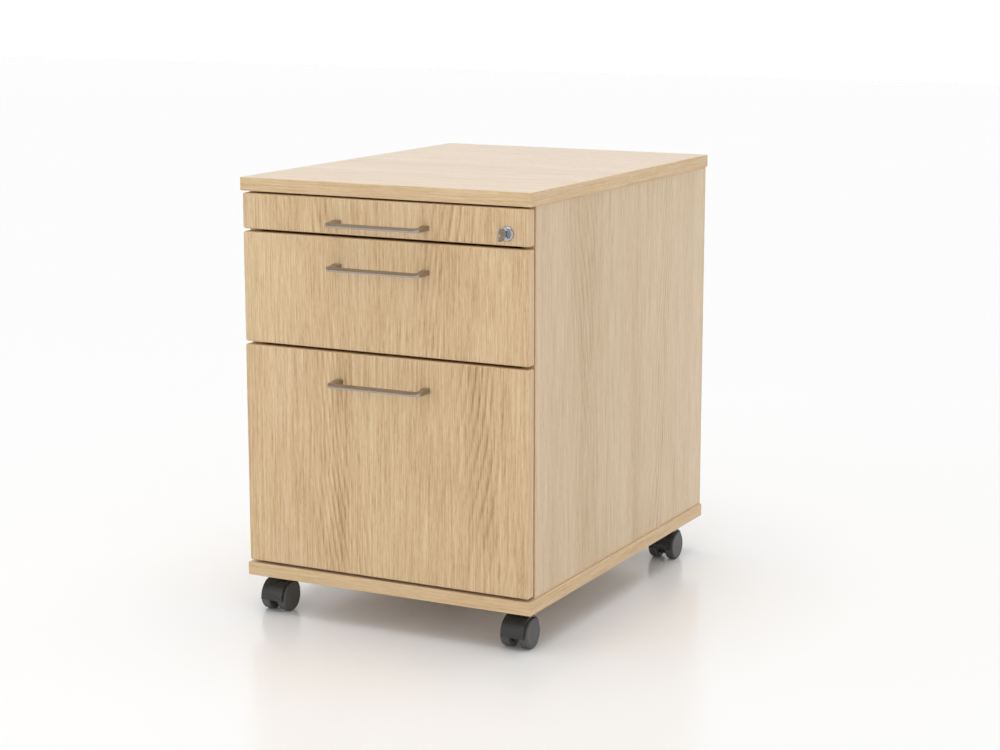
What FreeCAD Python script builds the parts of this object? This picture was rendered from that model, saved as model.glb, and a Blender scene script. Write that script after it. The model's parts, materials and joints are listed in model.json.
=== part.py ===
import FreeCAD, Part
import math
import os
import Sketcher
from FreeCAD import Placement, Rotation, Vector

# Rolling pedestal cabinet: a carcass of boards on four swivel castors, with a pencil drawer, a box
# drawer and a filing drawer on steel slides, and a lock that raises one bar to hold all three.
# Millimetres. +X is the cabinet's right, +Y its back and +Z up. The origin is on the floor, in the
# middle of the whole object's box, handles included.

DIMENSIONS = {
    "cabinet_width": 430,  # top and bottom panels
    "cabinet_depth": 580,
    "castor_height": 53,  # floor to the underside of the bottom panel
    "board": 18,
    "side_inset": 3,  # sides and fronts stand in from the ends of the top and bottom panels
    "board_round": 1,
    "front_board": 16,
    "front_round": 1.5,
    "front_clearance": 2,  # between a closed front and the carcass
    "top_gap": 2.5,
    "front_gap": 3.5,
    "pencil_front_height": 47.5,
    "box_front_height": 148,
    "file_front_height": 299,
    "handle_length": 140,
    "handle_hole_spacing": 128,
    "handle_reach": 30,
    "handle_bar": 8,
    "handle_leg": 10,
    "handle_thickness": 6.5,  # at the feet
    "handle_bar_thickness": 5,  # at the back of the bar, from which its top slopes forward
    "handle_front_edge": 2.2,
    "handle_foot_length": 7,
    "handle_taper_length": 6,
    "handle_bend": 9,
    "handle_inner_bend": 3,
    "handle_edge": 0.6,
    "pencil_handle_drop": 52,  # top of the cabinet to the middle of the handle
    "box_handle_drop": 109,
    "file_handle_drop": 262,
    "handle_screw_radius": 2,
    "handle_screw_head": 4,
    "handle_screw_head_height": 2.4,
    "handle_screw_bite": 10,
    "drawer_length": 500,
    "drawer_wall": 12,
    "drawer_floor": 8,
    "box_drawer_lift": 20,  # front's lower edge to the drawer box
    "box_drawer_height": 105,
    "file_drawer_lift": 15,
    "file_drawer_height": 240,
    "tray_lift": 2.5,
    "tray_height": 38,
    "tray_wall": 3,
    "tray_floor": 2.5,
    "pen_bay_length": 66,
    "lock_corner_width": 15.3,
    "lock_corner_length": 12,
    "rail_thickness": 3,
    "rail_height": 20,
    "rail_rise": 8,
    "rail_length": 470,
    "slide_length": 500,
    "slide_start": 50,  # front plane to the front end of the slides
    "slide_width": 12.7,  # gap between carcass and drawer that a slide fills
    "slide_sheet": 1.2,
    "slide_channel": 9.5,
    "slide_play": 1.8,
    "slide_height": 45,
    "pencil_slide_height": 35,
    "middle_back": 2.5,
    "middle_tip": 10.5,
    "file_runner_tip": 5,
    "box_slide_rise": 35,  # drawer's lower edge to the middle of its slides
    "file_slide_rise": 110,
    "pencil_slide_rise": 15,
    "slide_screw_radius": 2,
    "slide_screw_head": 3.5,
    "slide_screw_head_height": 1,
    "slide_screw_length": 13,
    "slide_screw_inset": 37,
    "slide_screw_middle": 229,
    "slide_screw_last": 453,
    "cam_radius": 7.5,
    "cam_depth": 12.5,
    "cam_inset": 34,  # end of the side panel to the middle of a cam housing
    "cam_edge": 110,  # front or back edge of the side panel to a cam housing
    "cam_bolt_radius": 3.5,
    "cam_bolt_bite": 11,
    "lock_from_end": 34,  # right end of the top panel to the lock's axis
    "lock_drop": 52.5,
    "lock_flange_radius": 9.5,
    "lock_flange_height": 3,
    "lock_body_radius": 8,
    "lock_body_length": 23.7,
    "lock_bore_radius": 6.05,
    "barrel_radius": 6,
    "barrel_length": 24,
    "barrel_nose": 3.4,
    "keyway_width": 2.4,
    "keyway_height": 8,
    "keyway_depth": 20,
    "key_thickness": 2,
    "key_blade": 7,
    "key_blade_depth": 19,
    "key_neck": 8,
    "key_end": 26,
    "key_bow": 15.5,
    "key_bow_round": 3,
    "key_hole_radius": 2,
    "lock_cam_thickness": 2,
    "lock_cam_radius": 4.4,
    "lock_throw": 8,  # barrel axis to the axis of the cam's pin
    "lock_pin_radius": 2,
    "lock_pin_length": 6,
    "bar_gap": 0.6,  # side panel to the lock bar
    "bar_reach": 10.4,  # back of the bar's strip to the tips of its fingers
    "bar_sheet": 1.5,
    "bar_width": 16,
    "bar_from_front": 28,
    "bar_bottom": 270,  # above the floor
    "bar_top": 546.5,
    "bar_finger_sheet": 2,
    "bar_finger_height": 10.5,
    "bar_finger_drop": 14,  # a catch's axis to the lower edge of its finger
    "bar_prong": 2.2,
    "bar_slot_play": 0.8,
    "bar_overtravel": 1,
    "bar_screw_low": 340,
    "bar_screw_high": 500,
    "bar_screw_radius": 2,
    "bar_screw_head": 4,
    "bar_screw_head_height": 2,
    "bar_screw_stand": 2.4,
    "bar_screw_bite": 10,
    "bar_screw_play": 0.4,
    "catch_radius": 2.5,
    "catch_length": 6,
    "catch_from_front": 35,
    "pencil_catch": 554.5,  # above the floor
    "box_catch": 480,
    "file_catch": 300,
    "castor_inset": 31,  # end of the bottom panel to a swivel axis
    "castor_edge": 48,  # front or back edge of the bottom panel to a swivel axis
    "castor_trail": 16,
    "wheel_radius": 20,
    "wheel_inner": 6.25,
    "wheel_outer": 19.75,
    "wheel_round": 2,
    "wheel_bore": 3.05,
    "wheel_bore_end": 16.5,
    "wheel_cap_radius": 14,
    "wheel_cap_rise": 0.6,
    "axle_radius": 3,
    "axle_half": 16,
    "hood_inner": 21.5,
    "hood_outer": 24,
    "hood_half_width": 16.5,
    "hood_front_bottom": 18,
    "hood_back_bottom": 24,
    "web_thickness": 11.5,
    "web_radius": 22.5,
    "hub_radius": 14,
    "socket_front": 12,
    "socket_back": 8,
    "socket_bottom": 24,
    "neck_radius": 9,
    "neck_bottom": 44.5,
    "neck_top": 50.2,
    "stem_radius": 3.5,
    "stem_bore": 3.55,
    "stem_bottom": 30,
    "stem_bore_bottom": 29.5,
    "plate_size": 42,
    "plate_thickness": 2.5,
    "plate_hole_spacing": 32,
    "castor_screw_radius": 2,
    "castor_screw_head": 3.5,
    "castor_screw_head_height": 1.5,
    "castor_screw_bite": 12,
}

doc = FreeCAD.newDocument("rolling_pedestal")
sheet = doc.addObject("Spreadsheet::Sheet", "dims")
for row, (alias, number) in enumerate(DIMENSIONS.items(), start=1):
    sheet.set(f"A{row}", alias.replace("_", " "))
    sheet.set(f"B{row}", str(number))
    sheet.setAlias(f"B{row}", alias)
doc.recompute()

nodes = []
cuts = []


# ---------------------------------------------------------------- expressions

def d(alias):
    """The sheet's cell, as an expression."""
    return f"dims.{alias}"


def total(*terms):
    """The sum of several expressions, in brackets."""
    return "(" + " + ".join(str(term) for term in terms) + ")"


def less(first, *terms):
    """The first expression with the others taken away, in brackets."""
    return "(" + " - ".join([str(first)] + [str(term) for term in terms]) + ")"


def half(expression):
    return f"({expression} / 2)"


def minus(expression):
    return f"(-1 * {expression})"


def number(expression):
    """What an expression comes to, in millimetres."""
    return float(sheet.evalExpression(str(expression)))


FRONT = half(less(d("handle_reach"), d("cabinet_depth")))
BACK = half(total(d("handle_reach"), d("cabinet_depth")))
FLOOR_TOP = total(d("castor_height"), d("board"))
FILE_Z = total(FLOOR_TOP, d("front_gap"))
BOX_Z = total(FILE_Z, d("file_front_height"), d("front_gap"))
PENCIL_Z = total(BOX_Z, d("box_front_height"), d("front_gap"))
UNDER_TOP = total(PENCIL_Z, d("pencil_front_height"), d("top_gap"))
TOP = total(UNDER_TOP, d("board"))
SIDE_OUT = less(half(d("cabinet_width")), d("side_inset"))
SIDE_IN = less(SIDE_OUT, d("board"))
SIDE_FRONT = total(FRONT, d("front_board"), d("front_clearance"))
SIDE_DEPTH = less(BACK, SIDE_FRONT)
SIDE_HEIGHT = less(UNDER_TOP, FLOOR_TOP)
FRONT_WIDTH = total(SIDE_OUT, SIDE_OUT)
DRAWER_FRONT = total(FRONT, d("front_board"))
DRAWER_HALF = less(SIDE_IN, d("slide_width"))
DRAWER_INSIDE = less(DRAWER_HALF, d("drawer_wall"))
SLIDE_FRONT = total(FRONT, d("slide_start"))
FILE_DRAWER_Z = total(FILE_Z, d("file_drawer_lift"))
BOX_DRAWER_Z = total(BOX_Z, d("box_drawer_lift"))
TRAY_Z = total(PENCIL_Z, d("tray_lift"))
FILE_SLIDE_Z = total(FILE_DRAWER_Z, d("file_slide_rise"))
BOX_SLIDE_Z = total(BOX_DRAWER_Z, d("box_slide_rise"))
PENCIL_SLIDE_Z = total(TRAY_Z, d("pencil_slide_rise"))
LOCK_X = less(half(d("cabinet_width")), d("lock_from_end"))
LOCK_Z = less(TOP, d("lock_drop"))
BAR_X = less(SIDE_IN, d("bar_gap"), d("bar_reach"))
BAR_Y = total(FRONT, d("bar_from_front"))
BAR_MIDDLE = half(total(d("bar_width"), d("bar_finger_sheet")))  # front edge to the screw slots
CATCH_Y = total(FRONT, d("catch_from_front"))
PIN_SIDE = f"({d('lock_throw')} * sqrt(0.5))"  # the cam's pin starts 45 degrees below the axis
BAR_LIFT = f"({d('lock_throw')} * sqrt(2))"
SCREW_ROWS = [d("slide_screw_inset"), d("slide_screw_middle"), d("slide_screw_last")]


# ---------------------------------------------------------------- building steps

def place(thing, position):
    """Bind where a sub-part stands to three expressions."""
    for axis, expression in zip("xyz", position):
        thing.setExpression(f"Placement.Base.{axis}", str(expression))


def new_body(name, position=(0, 0, 0)):
    body = doc.addObject("PartDesign::Body", name)
    body.Label = name
    place(body, position)
    return body


def keep(thing, name=None):
    """Count a finished object as one of the cabinet's sub-parts."""
    thing.Label = name or thing.Label
    nodes.append(thing)
    return thing


def sketch_on(body, role, offset=None):
    """An empty sketch on one of the body's own origin planes, moved along the plane's normal."""
    sketch = body.newObject("Sketcher::SketchObject", f"{body.Name}_sketch")
    plane = next(item for item in body.Origin.OriginFeatures if item.Role == role)
    sketch.AttachmentSupport = [(plane, "")]
    sketch.MapMode = "FlatFace"
    if offset is not None:
        sketch.setExpression("AttachmentOffset.Base.z", str(offset))
    return sketch


def pin_point(sketch, geometry, position, point):
    """Hold one point of a sketch at two expressions, measured from the sketch's origin."""
    for kind, axis, expression in (("DistanceX", -2, point[0]), ("DistanceY", -1, point[1])):
        if str(expression) == "0":
            sketch.addConstraint(Sketcher.Constraint("PointOnObject", geometry, position, axis))
            continue
        distance = Sketcher.Constraint(kind, -1, 1, geometry, position, number(expression))
        name = f"{kind[-1].lower()}_{geometry}"
        sketch.renameConstraint(sketch.addConstraint(distance), name)
        sketch.setExpression(f"Constraints.{name}", str(expression))


def polygon(sketch, points):
    """A closed outline of straight lines through the given points."""
    first = sketch.GeometryCount
    spots = [Vector(number(x), number(y), 0) for x, y in points]
    count = len(points)
    for index in range(count):
        line = Part.LineSegment(spots[index], spots[(index + 1) % count])
        sketch.addGeometry(line, False)
    for index in range(count):
        following = first + (index + 1) % count
        sketch.addConstraint(Sketcher.Constraint("Coincident", first + index, 2, following, 1))
    for index, point in enumerate(points):
        pin_point(sketch, first + index, 1, point)


def rectangle(sketch, low, high):
    polygon(sketch, [low, (high[0], low[1]), high, (low[0], high[1])])


def circle(sketch, centre, radius):
    spot = Vector(number(centre[0]), number(centre[1]), 0)
    index = sketch.addGeometry(Part.Circle(spot, Vector(0, 0, 1), number(radius)), False)
    pin_point(sketch, index, 3, centre)
    size = Sketcher.Constraint("Radius", index, number(radius))
    name = f"radius_{index}"
    sketch.renameConstraint(sketch.addConstraint(size), name)
    sketch.setExpression(f"Constraints.{name}", str(radius))


def pad(body, sketch, length, reverse=False, both_ways=False):
    doc.recompute()
    feature = body.newObject("PartDesign::Pad", f"{body.Name}_pad")
    feature.Profile = sketch
    feature.setExpression("Length", str(length))
    feature.Reversed = reverse
    if both_ways:
        feature.SideType = "Symmetric"
    doc.recompute()
    return feature


def pocket(body, sketch, depth, reverse=False, both_ways=False):
    doc.recompute()
    before = body.Tip
    feature = body.newObject("PartDesign::Pocket", f"{body.Name}_pocket")
    feature.Profile = sketch
    feature.setExpression("Length", str(depth))
    feature.Reversed = reverse
    if both_ways:
        feature.SideType = "Symmetric"
    doc.recompute()
    cuts.append((feature, before))
    return feature


def drill(body, role, offset, centres, radius, depth, reverse=False):
    """Round holes of one size in one face."""
    sketch = sketch_on(body, role, offset)
    for centre in centres:
        circle(sketch, centre, radius)
    return pocket(body, sketch, depth, reverse)


def round_edges(body, radius, chosen):
    """Round the edges of the body that the test picks."""
    base = body.Tip
    names = [f"Edge{index}" for index, edge in enumerate(base.Shape.Edges, 1) if chosen(edge)]
    fillet = body.newObject("PartDesign::Fillet", f"{body.Name}_round")
    fillet.Base = (base, names)
    fillet.setExpression("Radius", str(radius))
    doc.recompute()
    return fillet


def is_straight(edge):
    return isinstance(edge.Curve, (Part.Line, Part.LineSegment))


def runs_along(edge, axis):
    """True for a straight edge parallel to the axis."""
    return is_straight(edge) and abs(edge.tangentAt(edge.FirstParameter).dot(axis)) > 0.999


def board(name, size, position, radius=None):
    """A flat board with its lowest corner at its own origin."""
    body = new_body(name, position)
    outline = sketch_on(body, "XY_Plane")
    rectangle(outline, ("0", "0"), (size[0], size[1]))
    pad(body, outline, size[2])
    if radius:
        round_edges(body, radius, is_straight)
    return keep(body)


def mirrored_pair(name, body, extras=()):
    """A left piece, its mirror image on the right, and any extras, as one node of solids."""
    mirror = doc.addObject("Part::Mirroring", f"{name}_mirror")
    mirror.Source = body
    mirror.Normal = Vector(1, 0, 0)
    pair = doc.addObject("Part::Compound", name)
    pair.Links = [body, mirror] + list(extras)
    return keep(pair, name)


def group(name, shape, placements):
    """Identical pieces as separate solids of one node."""
    feature = doc.addObject("Part::Feature", name)
    copies = []
    for placement in placements:
        copy = shape.copy()
        copy.Placement = placement.multiply(copy.Placement)
        copies.append(copy)
    feature.Shape = Part.makeCompound(copies)
    return keep(feature, name)


def screw_shape(radius, length, head_radius, head_height):
    """A plain screw along +Z: the shank below the origin and the head above it."""
    shank = Part.makeCylinder(radius, length, Vector(0, 0, -length))
    head = Part.makeCylinder(head_radius, head_height)
    top = [edge for edge in head.Edges if edge.BoundBox.ZMin > head_height / 2]
    circles = [edge for edge in top if isinstance(edge.Curve, Part.Circle)]
    head = head.makeFillet(head_height * 0.4, circles)
    return shank.fuse(head).removeSplitter()


# ---------------------------------------------------------------- carcass

def cam_bolt_spots():
    """Where the cam bolts stand in the top and bottom panels, from a panel's own corner."""
    left = total(d("side_inset"), half(d("board")))
    near = total(d("front_board"), d("front_clearance"), d("cam_edge"))
    far = less(d("cabinet_depth"), d("cam_edge"))
    return [(x, y) for x in (left, less(d("cabinet_width"), left)) for y in (near, far)]


def castor_axes():
    """The four swivel axes, from the middle of the row frame."""
    across = less(half(d("cabinet_width")), d("castor_inset"))
    near = total(FRONT, d("castor_edge"))
    far = less(BACK, d("castor_edge"))
    return {
        "front_left": (minus(across), near),
        "front_right": (across, near),
        "rear_left": (minus(across), far),
        "rear_right": (across, far),
    }


def castor_screw_spots():
    """Where the castor screws enter the bottom panel, from the panel's own corner."""
    reach = half(d("plate_hole_spacing"))
    spots = []
    for x, y in castor_axes().values():
        for across in (reach, minus(reach)):
            for along in (reach, minus(reach)):
                spots.append((total(x, half(d("cabinet_width")), across), less(total(y, along), FRONT)))
    return spots


def make_panels():
    corner = minus(half(d("cabinet_width")))
    size = (d("cabinet_width"), d("cabinet_depth"), d("board"))
    top = board("top_panel", size, (corner, FRONT, UNDER_TOP), d("board_round"))
    drill(top, "XY_Plane", None, cam_bolt_spots(), d("cam_bolt_radius"), d("cam_bolt_bite"), True)
    bottom = board("bottom_panel", size, (corner, FRONT, d("castor_height")), d("board_round"))
    drill(bottom, "XY_Plane", d("board"), cam_bolt_spots(), d("cam_bolt_radius"), d("cam_bolt_bite"))
    drill(bottom, "XY_Plane", None, castor_screw_spots(), d("castor_screw_radius"),
          d("castor_screw_bite"), True)


def make_side(name, x, inner_face, bolt_x, inward):
    """A side panel, drilled in its inner face and in both ends."""
    side = board(name, (d("board"), SIDE_DEPTH, SIDE_HEIGHT), (x, SIDE_FRONT, FLOOR_TOP))
    rows = [d("cam_edge"), less(SIDE_DEPTH, d("cam_edge"))]
    heights = [d("cam_inset"), less(SIDE_HEIGHT, d("cam_inset"))]
    cams = [(y, z) for y in rows for z in heights]
    drill(side, "YZ_Plane", inner_face, cams, d("cam_radius"), d("cam_depth"), inward)
    bolts = [(bolt_x, y) for y in rows]
    drill(side, "XY_Plane", None, bolts, d("cam_bolt_radius"), d("cam_inset"), True)
    drill(side, "XY_Plane", SIDE_HEIGHT, bolts, d("cam_bolt_radius"), d("cam_inset"))
    levels = [less(z, FLOOR_TOP) for z in (FILE_SLIDE_Z, BOX_SLIDE_Z, PENCIL_SLIDE_Z)]
    start = less(SLIDE_FRONT, SIDE_FRONT)
    pilots = [(total(start, y), z) for y in SCREW_ROWS for z in levels]
    bite = less(d("slide_screw_length"), d("slide_sheet"))
    drill(side, "YZ_Plane", inner_face, pilots, d("slide_screw_radius"), bite, inward)
    return side


def make_sides():
    middle = half(d("board"))
    make_side("left_side", minus(SIDE_OUT), d("board"), middle, False)
    right = make_side("right_side", SIDE_IN, None, middle, True)
    y = less(total(BAR_Y, BAR_MIDDLE), SIDE_FRONT)
    spots = [(y, less(d(z), FLOOR_TOP)) for z in ("bar_screw_low", "bar_screw_high")]
    drill(right, "YZ_Plane", None, spots, d("bar_screw_radius"), d("bar_screw_bite"), True)


def make_back():
    size = (total(SIDE_IN, SIDE_IN), d("board"), SIDE_HEIGHT)
    board("back_panel", size, (minus(SIDE_IN), less(BACK, d("board")), FLOOR_TOP))


def make_cam_fittings():
    """Round cam housings in the sides, and the bolts that they draw into the top and bottom."""
    rows = [number(total(SIDE_FRONT, d("cam_edge"))), number(less(BACK, d("cam_edge")))]
    low = number(total(FLOOR_TOP, d("cam_inset")))
    high = number(less(UNDER_TOP, d("cam_inset")))
    face = number(SIDE_IN)
    housing = Part.makeCylinder(number(d("cam_radius")), number(d("cam_depth")))
    slot = number(d("cam_radius"))
    screwdriver = Part.makeBox(slot, 1.5, 1, Vector(-slot / 2, -0.75, 0))
    housing = housing.cut(screwdriver)
    housings = []
    for side in (1, -1):
        turn = Rotation(Vector(0, 1, 0), 90 * side)
        housings += [Placement(Vector(side * face, y, z), turn) for y in rows for z in (low, high)]
    group("cam_housings", housing, housings)
    length = number(total(less(d("cam_inset"), d("cam_radius")), d("cam_bolt_bite")))
    bolt = Part.makeCylinder(number(d("cam_bolt_radius")), length)
    across = number(less(SIDE_OUT, half(d("board"))))
    down = number(less(FLOOR_TOP, d("cam_bolt_bite")))
    up = number(total(UNDER_TOP, d("cam_bolt_bite"))) - length
    spots = [Vector(side * across, y, z) for side in (1, -1) for y in rows for z in (down, up)]
    group("cam_bolts", bolt, [Placement(spot, Rotation()) for spot in spots])


# ---------------------------------------------------------------- slides

def channel(name, back, tip, height, z, side_x):
    """One member of a slide: a steel channel with its web at `back` and its flanges out to `tip`,
    both measured from the carcass wall towards the drawer."""
    body = new_body(name, (side_x, SLIDE_FRONT, z))
    inward = number(tip) > number(back)
    web = total(back, d("slide_sheet")) if inward else less(back, d("slide_sheet"))
    low = minus(half(height))
    high = half(height)
    lower = total(low, d("slide_sheet"))
    upper = less(high, d("slide_sheet"))
    outline = sketch_on(body, "XZ_Plane")
    polygon(outline, [(back, low), (tip, low), (tip, lower), (web, lower),
                      (web, upper), (tip, upper), (tip, high), (back, high)])
    pad(body, outline, d("slide_length"), reverse=True)
    return body


def nested(height):
    """The height of the channel that runs inside a channel of the given height."""
    return less(height, f"2 * {d('slide_sheet')}", f"2 * {d('slide_play')}")


def catch_pin(name, height):
    """The steel pin on a drawer's right side that the lock bar stops."""
    pin = doc.addObject("Part::Cylinder", name)
    pin.setExpression("Radius", d("catch_radius"))
    pin.setExpression("Height", d("catch_length"))
    pin.Placement.Rotation = Rotation(Vector(0, 1, 0), 90)
    place(pin, (DRAWER_HALF, CATCH_Y, height))
    return pin


def make_slides():
    wall = minus(SIDE_IN)
    runner_back = d("slide_width")
    drawers = {
        "pencil": (PENCIL_SLIDE_Z, d("pencil_slide_height"), d("middle_back"), d("pencil_catch")),
        "box": (BOX_SLIDE_Z, d("slide_height"), d("middle_back"), d("box_catch")),
        "file": (FILE_SLIDE_Z, nested(d("slide_height")), d("file_runner_tip"), d("file_catch")),
    }
    for drawer, (z, height, runner_tip, catch) in drawers.items():
        outer_height = d("slide_height") if drawer == "file" else height
        fixed = channel(f"{drawer}_channel", "0", d("slide_channel"), outer_height, z, wall)
        holes = [(row, "0") for row in SCREW_ROWS]
        drill(fixed, "YZ_Plane", d("slide_sheet"), holes, d("slide_screw_radius"), d("slide_sheet"))
        mirrored_pair(f"{drawer}_slide_channels", fixed)
        runner = channel(f"{drawer}_runner", runner_back, runner_tip, nested(height), z, wall)
        mirrored_pair(f"{drawer}_slide_runners", runner, [catch_pin(f"{drawer}_catch", catch)])
    middle = channel("file_middle", d("middle_back"), d("middle_tip"), nested(d("slide_height")),
                     FILE_SLIDE_Z, wall)
    mirrored_pair("file_slide_middles", middle)
    screw = screw_shape(number(d("slide_screw_radius")), number(d("slide_screw_length")),
                        number(d("slide_screw_head")), number(d("slide_screw_head_height")))
    spots = []
    for side in (1, -1):
        face = side * number(less(SIDE_IN, d("slide_sheet")))
        turn = Rotation(Vector(0, 1, 0), -90 * side)
        for z in (PENCIL_SLIDE_Z, BOX_SLIDE_Z, FILE_SLIDE_Z):
            for row in SCREW_ROWS:
                spot = Vector(face, number(total(SLIDE_FRONT, row)), number(z))
                spots.append(Placement(spot, turn))
    group("slide_screws", screw, spots)


# ---------------------------------------------------------------- drawers

def slope_handle(handle):
    """Take the top off the handle: the legs thin down from their feet, and the bar's top slopes
    on down to a narrow front edge."""
    under = minus(half(d("handle_thickness")))
    out = minus(d("handle_reach"))
    bar_back = total(out, d("handle_bar"))
    bar_top = total(under, d("handle_bar_thickness"))
    foot = minus(d("handle_foot_length"))
    above = d("handle_thickness")
    slope = sketch_on(handle, "YZ_Plane")
    polygon(slope, [(out, total(under, d("handle_front_edge"))), (bar_back, bar_top),
                    (less(foot, d("handle_taper_length")), bar_top),
                    (foot, half(d("handle_thickness"))), (foot, above), (out, above)])
    pocket(handle, slope, d("handle_length"), both_ways=True)


def make_handle(drawer, drop):
    """A bow handle: two legs and a bar in one bent piece, tapped at both feet."""
    handle = new_body(f"{drawer}_handle", (0, FRONT, less(TOP, drop)))
    end = half(d("handle_length"))
    inner = less(end, d("handle_leg"))
    out = minus(d("handle_reach"))
    inside = minus(less(d("handle_reach"), d("handle_bar")))
    outline = sketch_on(handle, "XY_Plane")
    polygon(outline, [(minus(end), "0"), (minus(end), out), (end, out), (end, "0"),
                      (inner, "0"), (inner, inside), (minus(inner), inside), (minus(inner), "0")])
    pad(handle, outline, d("handle_thickness"), both_ways=True)
    slope_handle(handle)
    up = Vector(0, 0, 1)
    outer_y = number(out) + 1
    round_edges(handle, d("handle_bend"),
                lambda edge: runs_along(edge, up) and edge.CenterOfMass.y < outer_y)
    inside_y = number(inside)
    round_edges(handle, d("handle_inner_bend"),
                lambda edge: runs_along(edge, up) and abs(edge.CenterOfMass.y - inside_y) < 1)
    round_edges(handle, d("handle_edge"),
                lambda edge: not runs_along(edge, up) and edge.BoundBox.YMin < -0.5)
    reach = half(d("handle_hole_spacing"))
    drill(handle, "XZ_Plane", None, [(reach, "0"), (minus(reach), "0")],
          d("handle_screw_radius"), d("handle_screw_bite"), True)
    return keep(handle)


def make_front(drawer, z, height, drop):
    """A drawer front with its two handle holes."""
    front = board(f"{drawer}_front", (FRONT_WIDTH, d("front_board"), height),
                  (minus(SIDE_OUT), FRONT, z), d("front_round"))
    reach = half(d("handle_hole_spacing"))
    hole_z = less(TOP, drop, z)
    holes = [(total(SIDE_OUT, reach), hole_z), (less(SIDE_OUT, reach), hole_z)]
    drill(front, "XZ_Plane", None, holes, d("handle_screw_radius"), d("front_board"))
    length = number(total(d("front_board"), d("handle_screw_bite"))) - 0.5
    screw = screw_shape(number(d("handle_screw_radius")), length, number(d("handle_screw_head")),
                        number(d("handle_screw_head_height")))
    turn = Rotation(Vector(1, 0, 0), -90)
    spots = [Vector(side * number(reach), number(DRAWER_FRONT), number(less(TOP, drop)))
             for side in (1, -1)]
    group(f"{drawer}_handle_screws", screw, [Placement(spot, turn) for spot in spots])
    make_handle(drawer, drop)
    return front


def make_drawer_box(drawer, z, height):
    """Two sides, with the floor and the back between them."""
    wall = d("drawer_wall")
    between = total(DRAWER_INSIDE, DRAWER_INSIDE)
    side = (wall, d("drawer_length"), height)
    board(f"{drawer}_drawer_left_side", side, (minus(DRAWER_HALF), DRAWER_FRONT, z))
    board(f"{drawer}_drawer_right_side", side, (DRAWER_INSIDE, DRAWER_FRONT, z))
    board(f"{drawer}_drawer_floor", (between, d("drawer_length"), d("drawer_floor")),
          (minus(DRAWER_INSIDE), DRAWER_FRONT, z))
    back_y = total(DRAWER_FRONT, less(d("drawer_length"), wall))
    board(f"{drawer}_drawer_back", (between, wall, less(height, d("drawer_floor"))),
          (minus(DRAWER_INSIDE), back_y, total(z, d("drawer_floor"))))


def make_hanging_rails():
    """Steel strips inside the tops of the filing drawer's sides, which carry hanging folders."""
    rail = new_body("file_rail", (minus(DRAWER_INSIDE), DRAWER_FRONT, FILE_DRAWER_Z))
    outline = sketch_on(rail, "YZ_Plane")
    start = d("tray_wall")
    top = total(d("file_drawer_height"), d("rail_rise"))
    rectangle(outline, (start, less(top, d("rail_height"))), (total(start, d("rail_length")), top))
    pad(rail, outline, d("rail_thickness"))
    mirrored_pair("file_hanging_rails", rail)


def make_pencil_tray():
    """A moulded tray with a pen bay in front, a clip bay behind the lock and a long back bay."""
    tray = new_body("pencil_tray", (0, DRAWER_FRONT, TRAY_Z))
    wall = d("tray_wall")
    inside = less(DRAWER_HALF, wall)
    corner = less(DRAWER_HALF, d("lock_corner_width"))
    end = d("drawer_length")
    outline = sketch_on(tray, "XY_Plane")
    polygon(outline, [(minus(DRAWER_HALF), "0"), (corner, "0"), (corner, d("lock_corner_length")),
                      (DRAWER_HALF, d("lock_corner_length")), (DRAWER_HALF, end),
                      (minus(DRAWER_HALF), end)])
    pad(tray, outline, d("tray_height"))
    bay_end = total(wall, d("pen_bay_length"))
    clip_start = total(d("lock_corner_length"), wall)
    bays = [
        ((minus(inside), wall), (less(corner, wall), bay_end)),
        ((corner, clip_start), (inside, bay_end)),
        ((minus(inside), total(bay_end, wall)), (inside, less(end, wall))),
    ]
    depth = less(d("tray_height"), d("tray_floor"))
    for low, high in bays:
        bay = sketch_on(tray, "XY_Plane", d("tray_height"))
        rectangle(bay, low, high)
        pocket(tray, bay, depth)
    round_edges(tray, half(wall),
                lambda edge: runs_along(edge, Vector(0, 0, 1)) and edge.BoundBox.ZMin > 1)
    reach = half(d("handle_hole_spacing"))
    head_z = less(TOP, d("pencil_handle_drop"), TRAY_Z)
    drill(tray, "XZ_Plane", None, [(reach, head_z), (minus(reach), head_z)],
          total(d("handle_screw_head"), 0.5), wall)
    return keep(tray)


def make_drawers():
    pencil = make_front("pencil", PENCIL_Z, d("pencil_front_height"), d("pencil_handle_drop"))
    lock_hole = [(total(SIDE_OUT, LOCK_X), less(LOCK_Z, PENCIL_Z))]
    drill(pencil, "XZ_Plane", None, lock_hole, d("lock_body_radius"), d("front_board"))
    make_pencil_tray()
    make_front("box", BOX_Z, d("box_front_height"), d("box_handle_drop"))
    make_drawer_box("box", BOX_DRAWER_Z, d("box_drawer_height"))
    make_front("file", FILE_Z, d("file_front_height"), d("file_handle_drop"))
    make_drawer_box("file", FILE_DRAWER_Z, d("file_drawer_height"))
    make_hanging_rails()


# ---------------------------------------------------------------- lock

def make_lock_housing():
    housing = new_body("lock_housing", (LOCK_X, FRONT, LOCK_Z))
    flange = sketch_on(housing, "XZ_Plane")
    circle(flange, ("0", "0"), d("lock_flange_radius"))
    pad(housing, flange, d("lock_flange_height"))
    round_edges(housing, half(d("lock_flange_height")),
                lambda edge: not is_straight(edge) and edge.BoundBox.YMax < -1)
    tube = sketch_on(housing, "XZ_Plane")
    circle(tube, ("0", "0"), d("lock_body_radius"))
    pad(housing, tube, d("lock_body_length"), reverse=True)
    drill(housing, "XZ_Plane", d("lock_flange_height"), [("0", "0")], d("lock_bore_radius"),
          total(d("lock_flange_height"), d("lock_body_length")))
    keep(housing)


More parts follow.
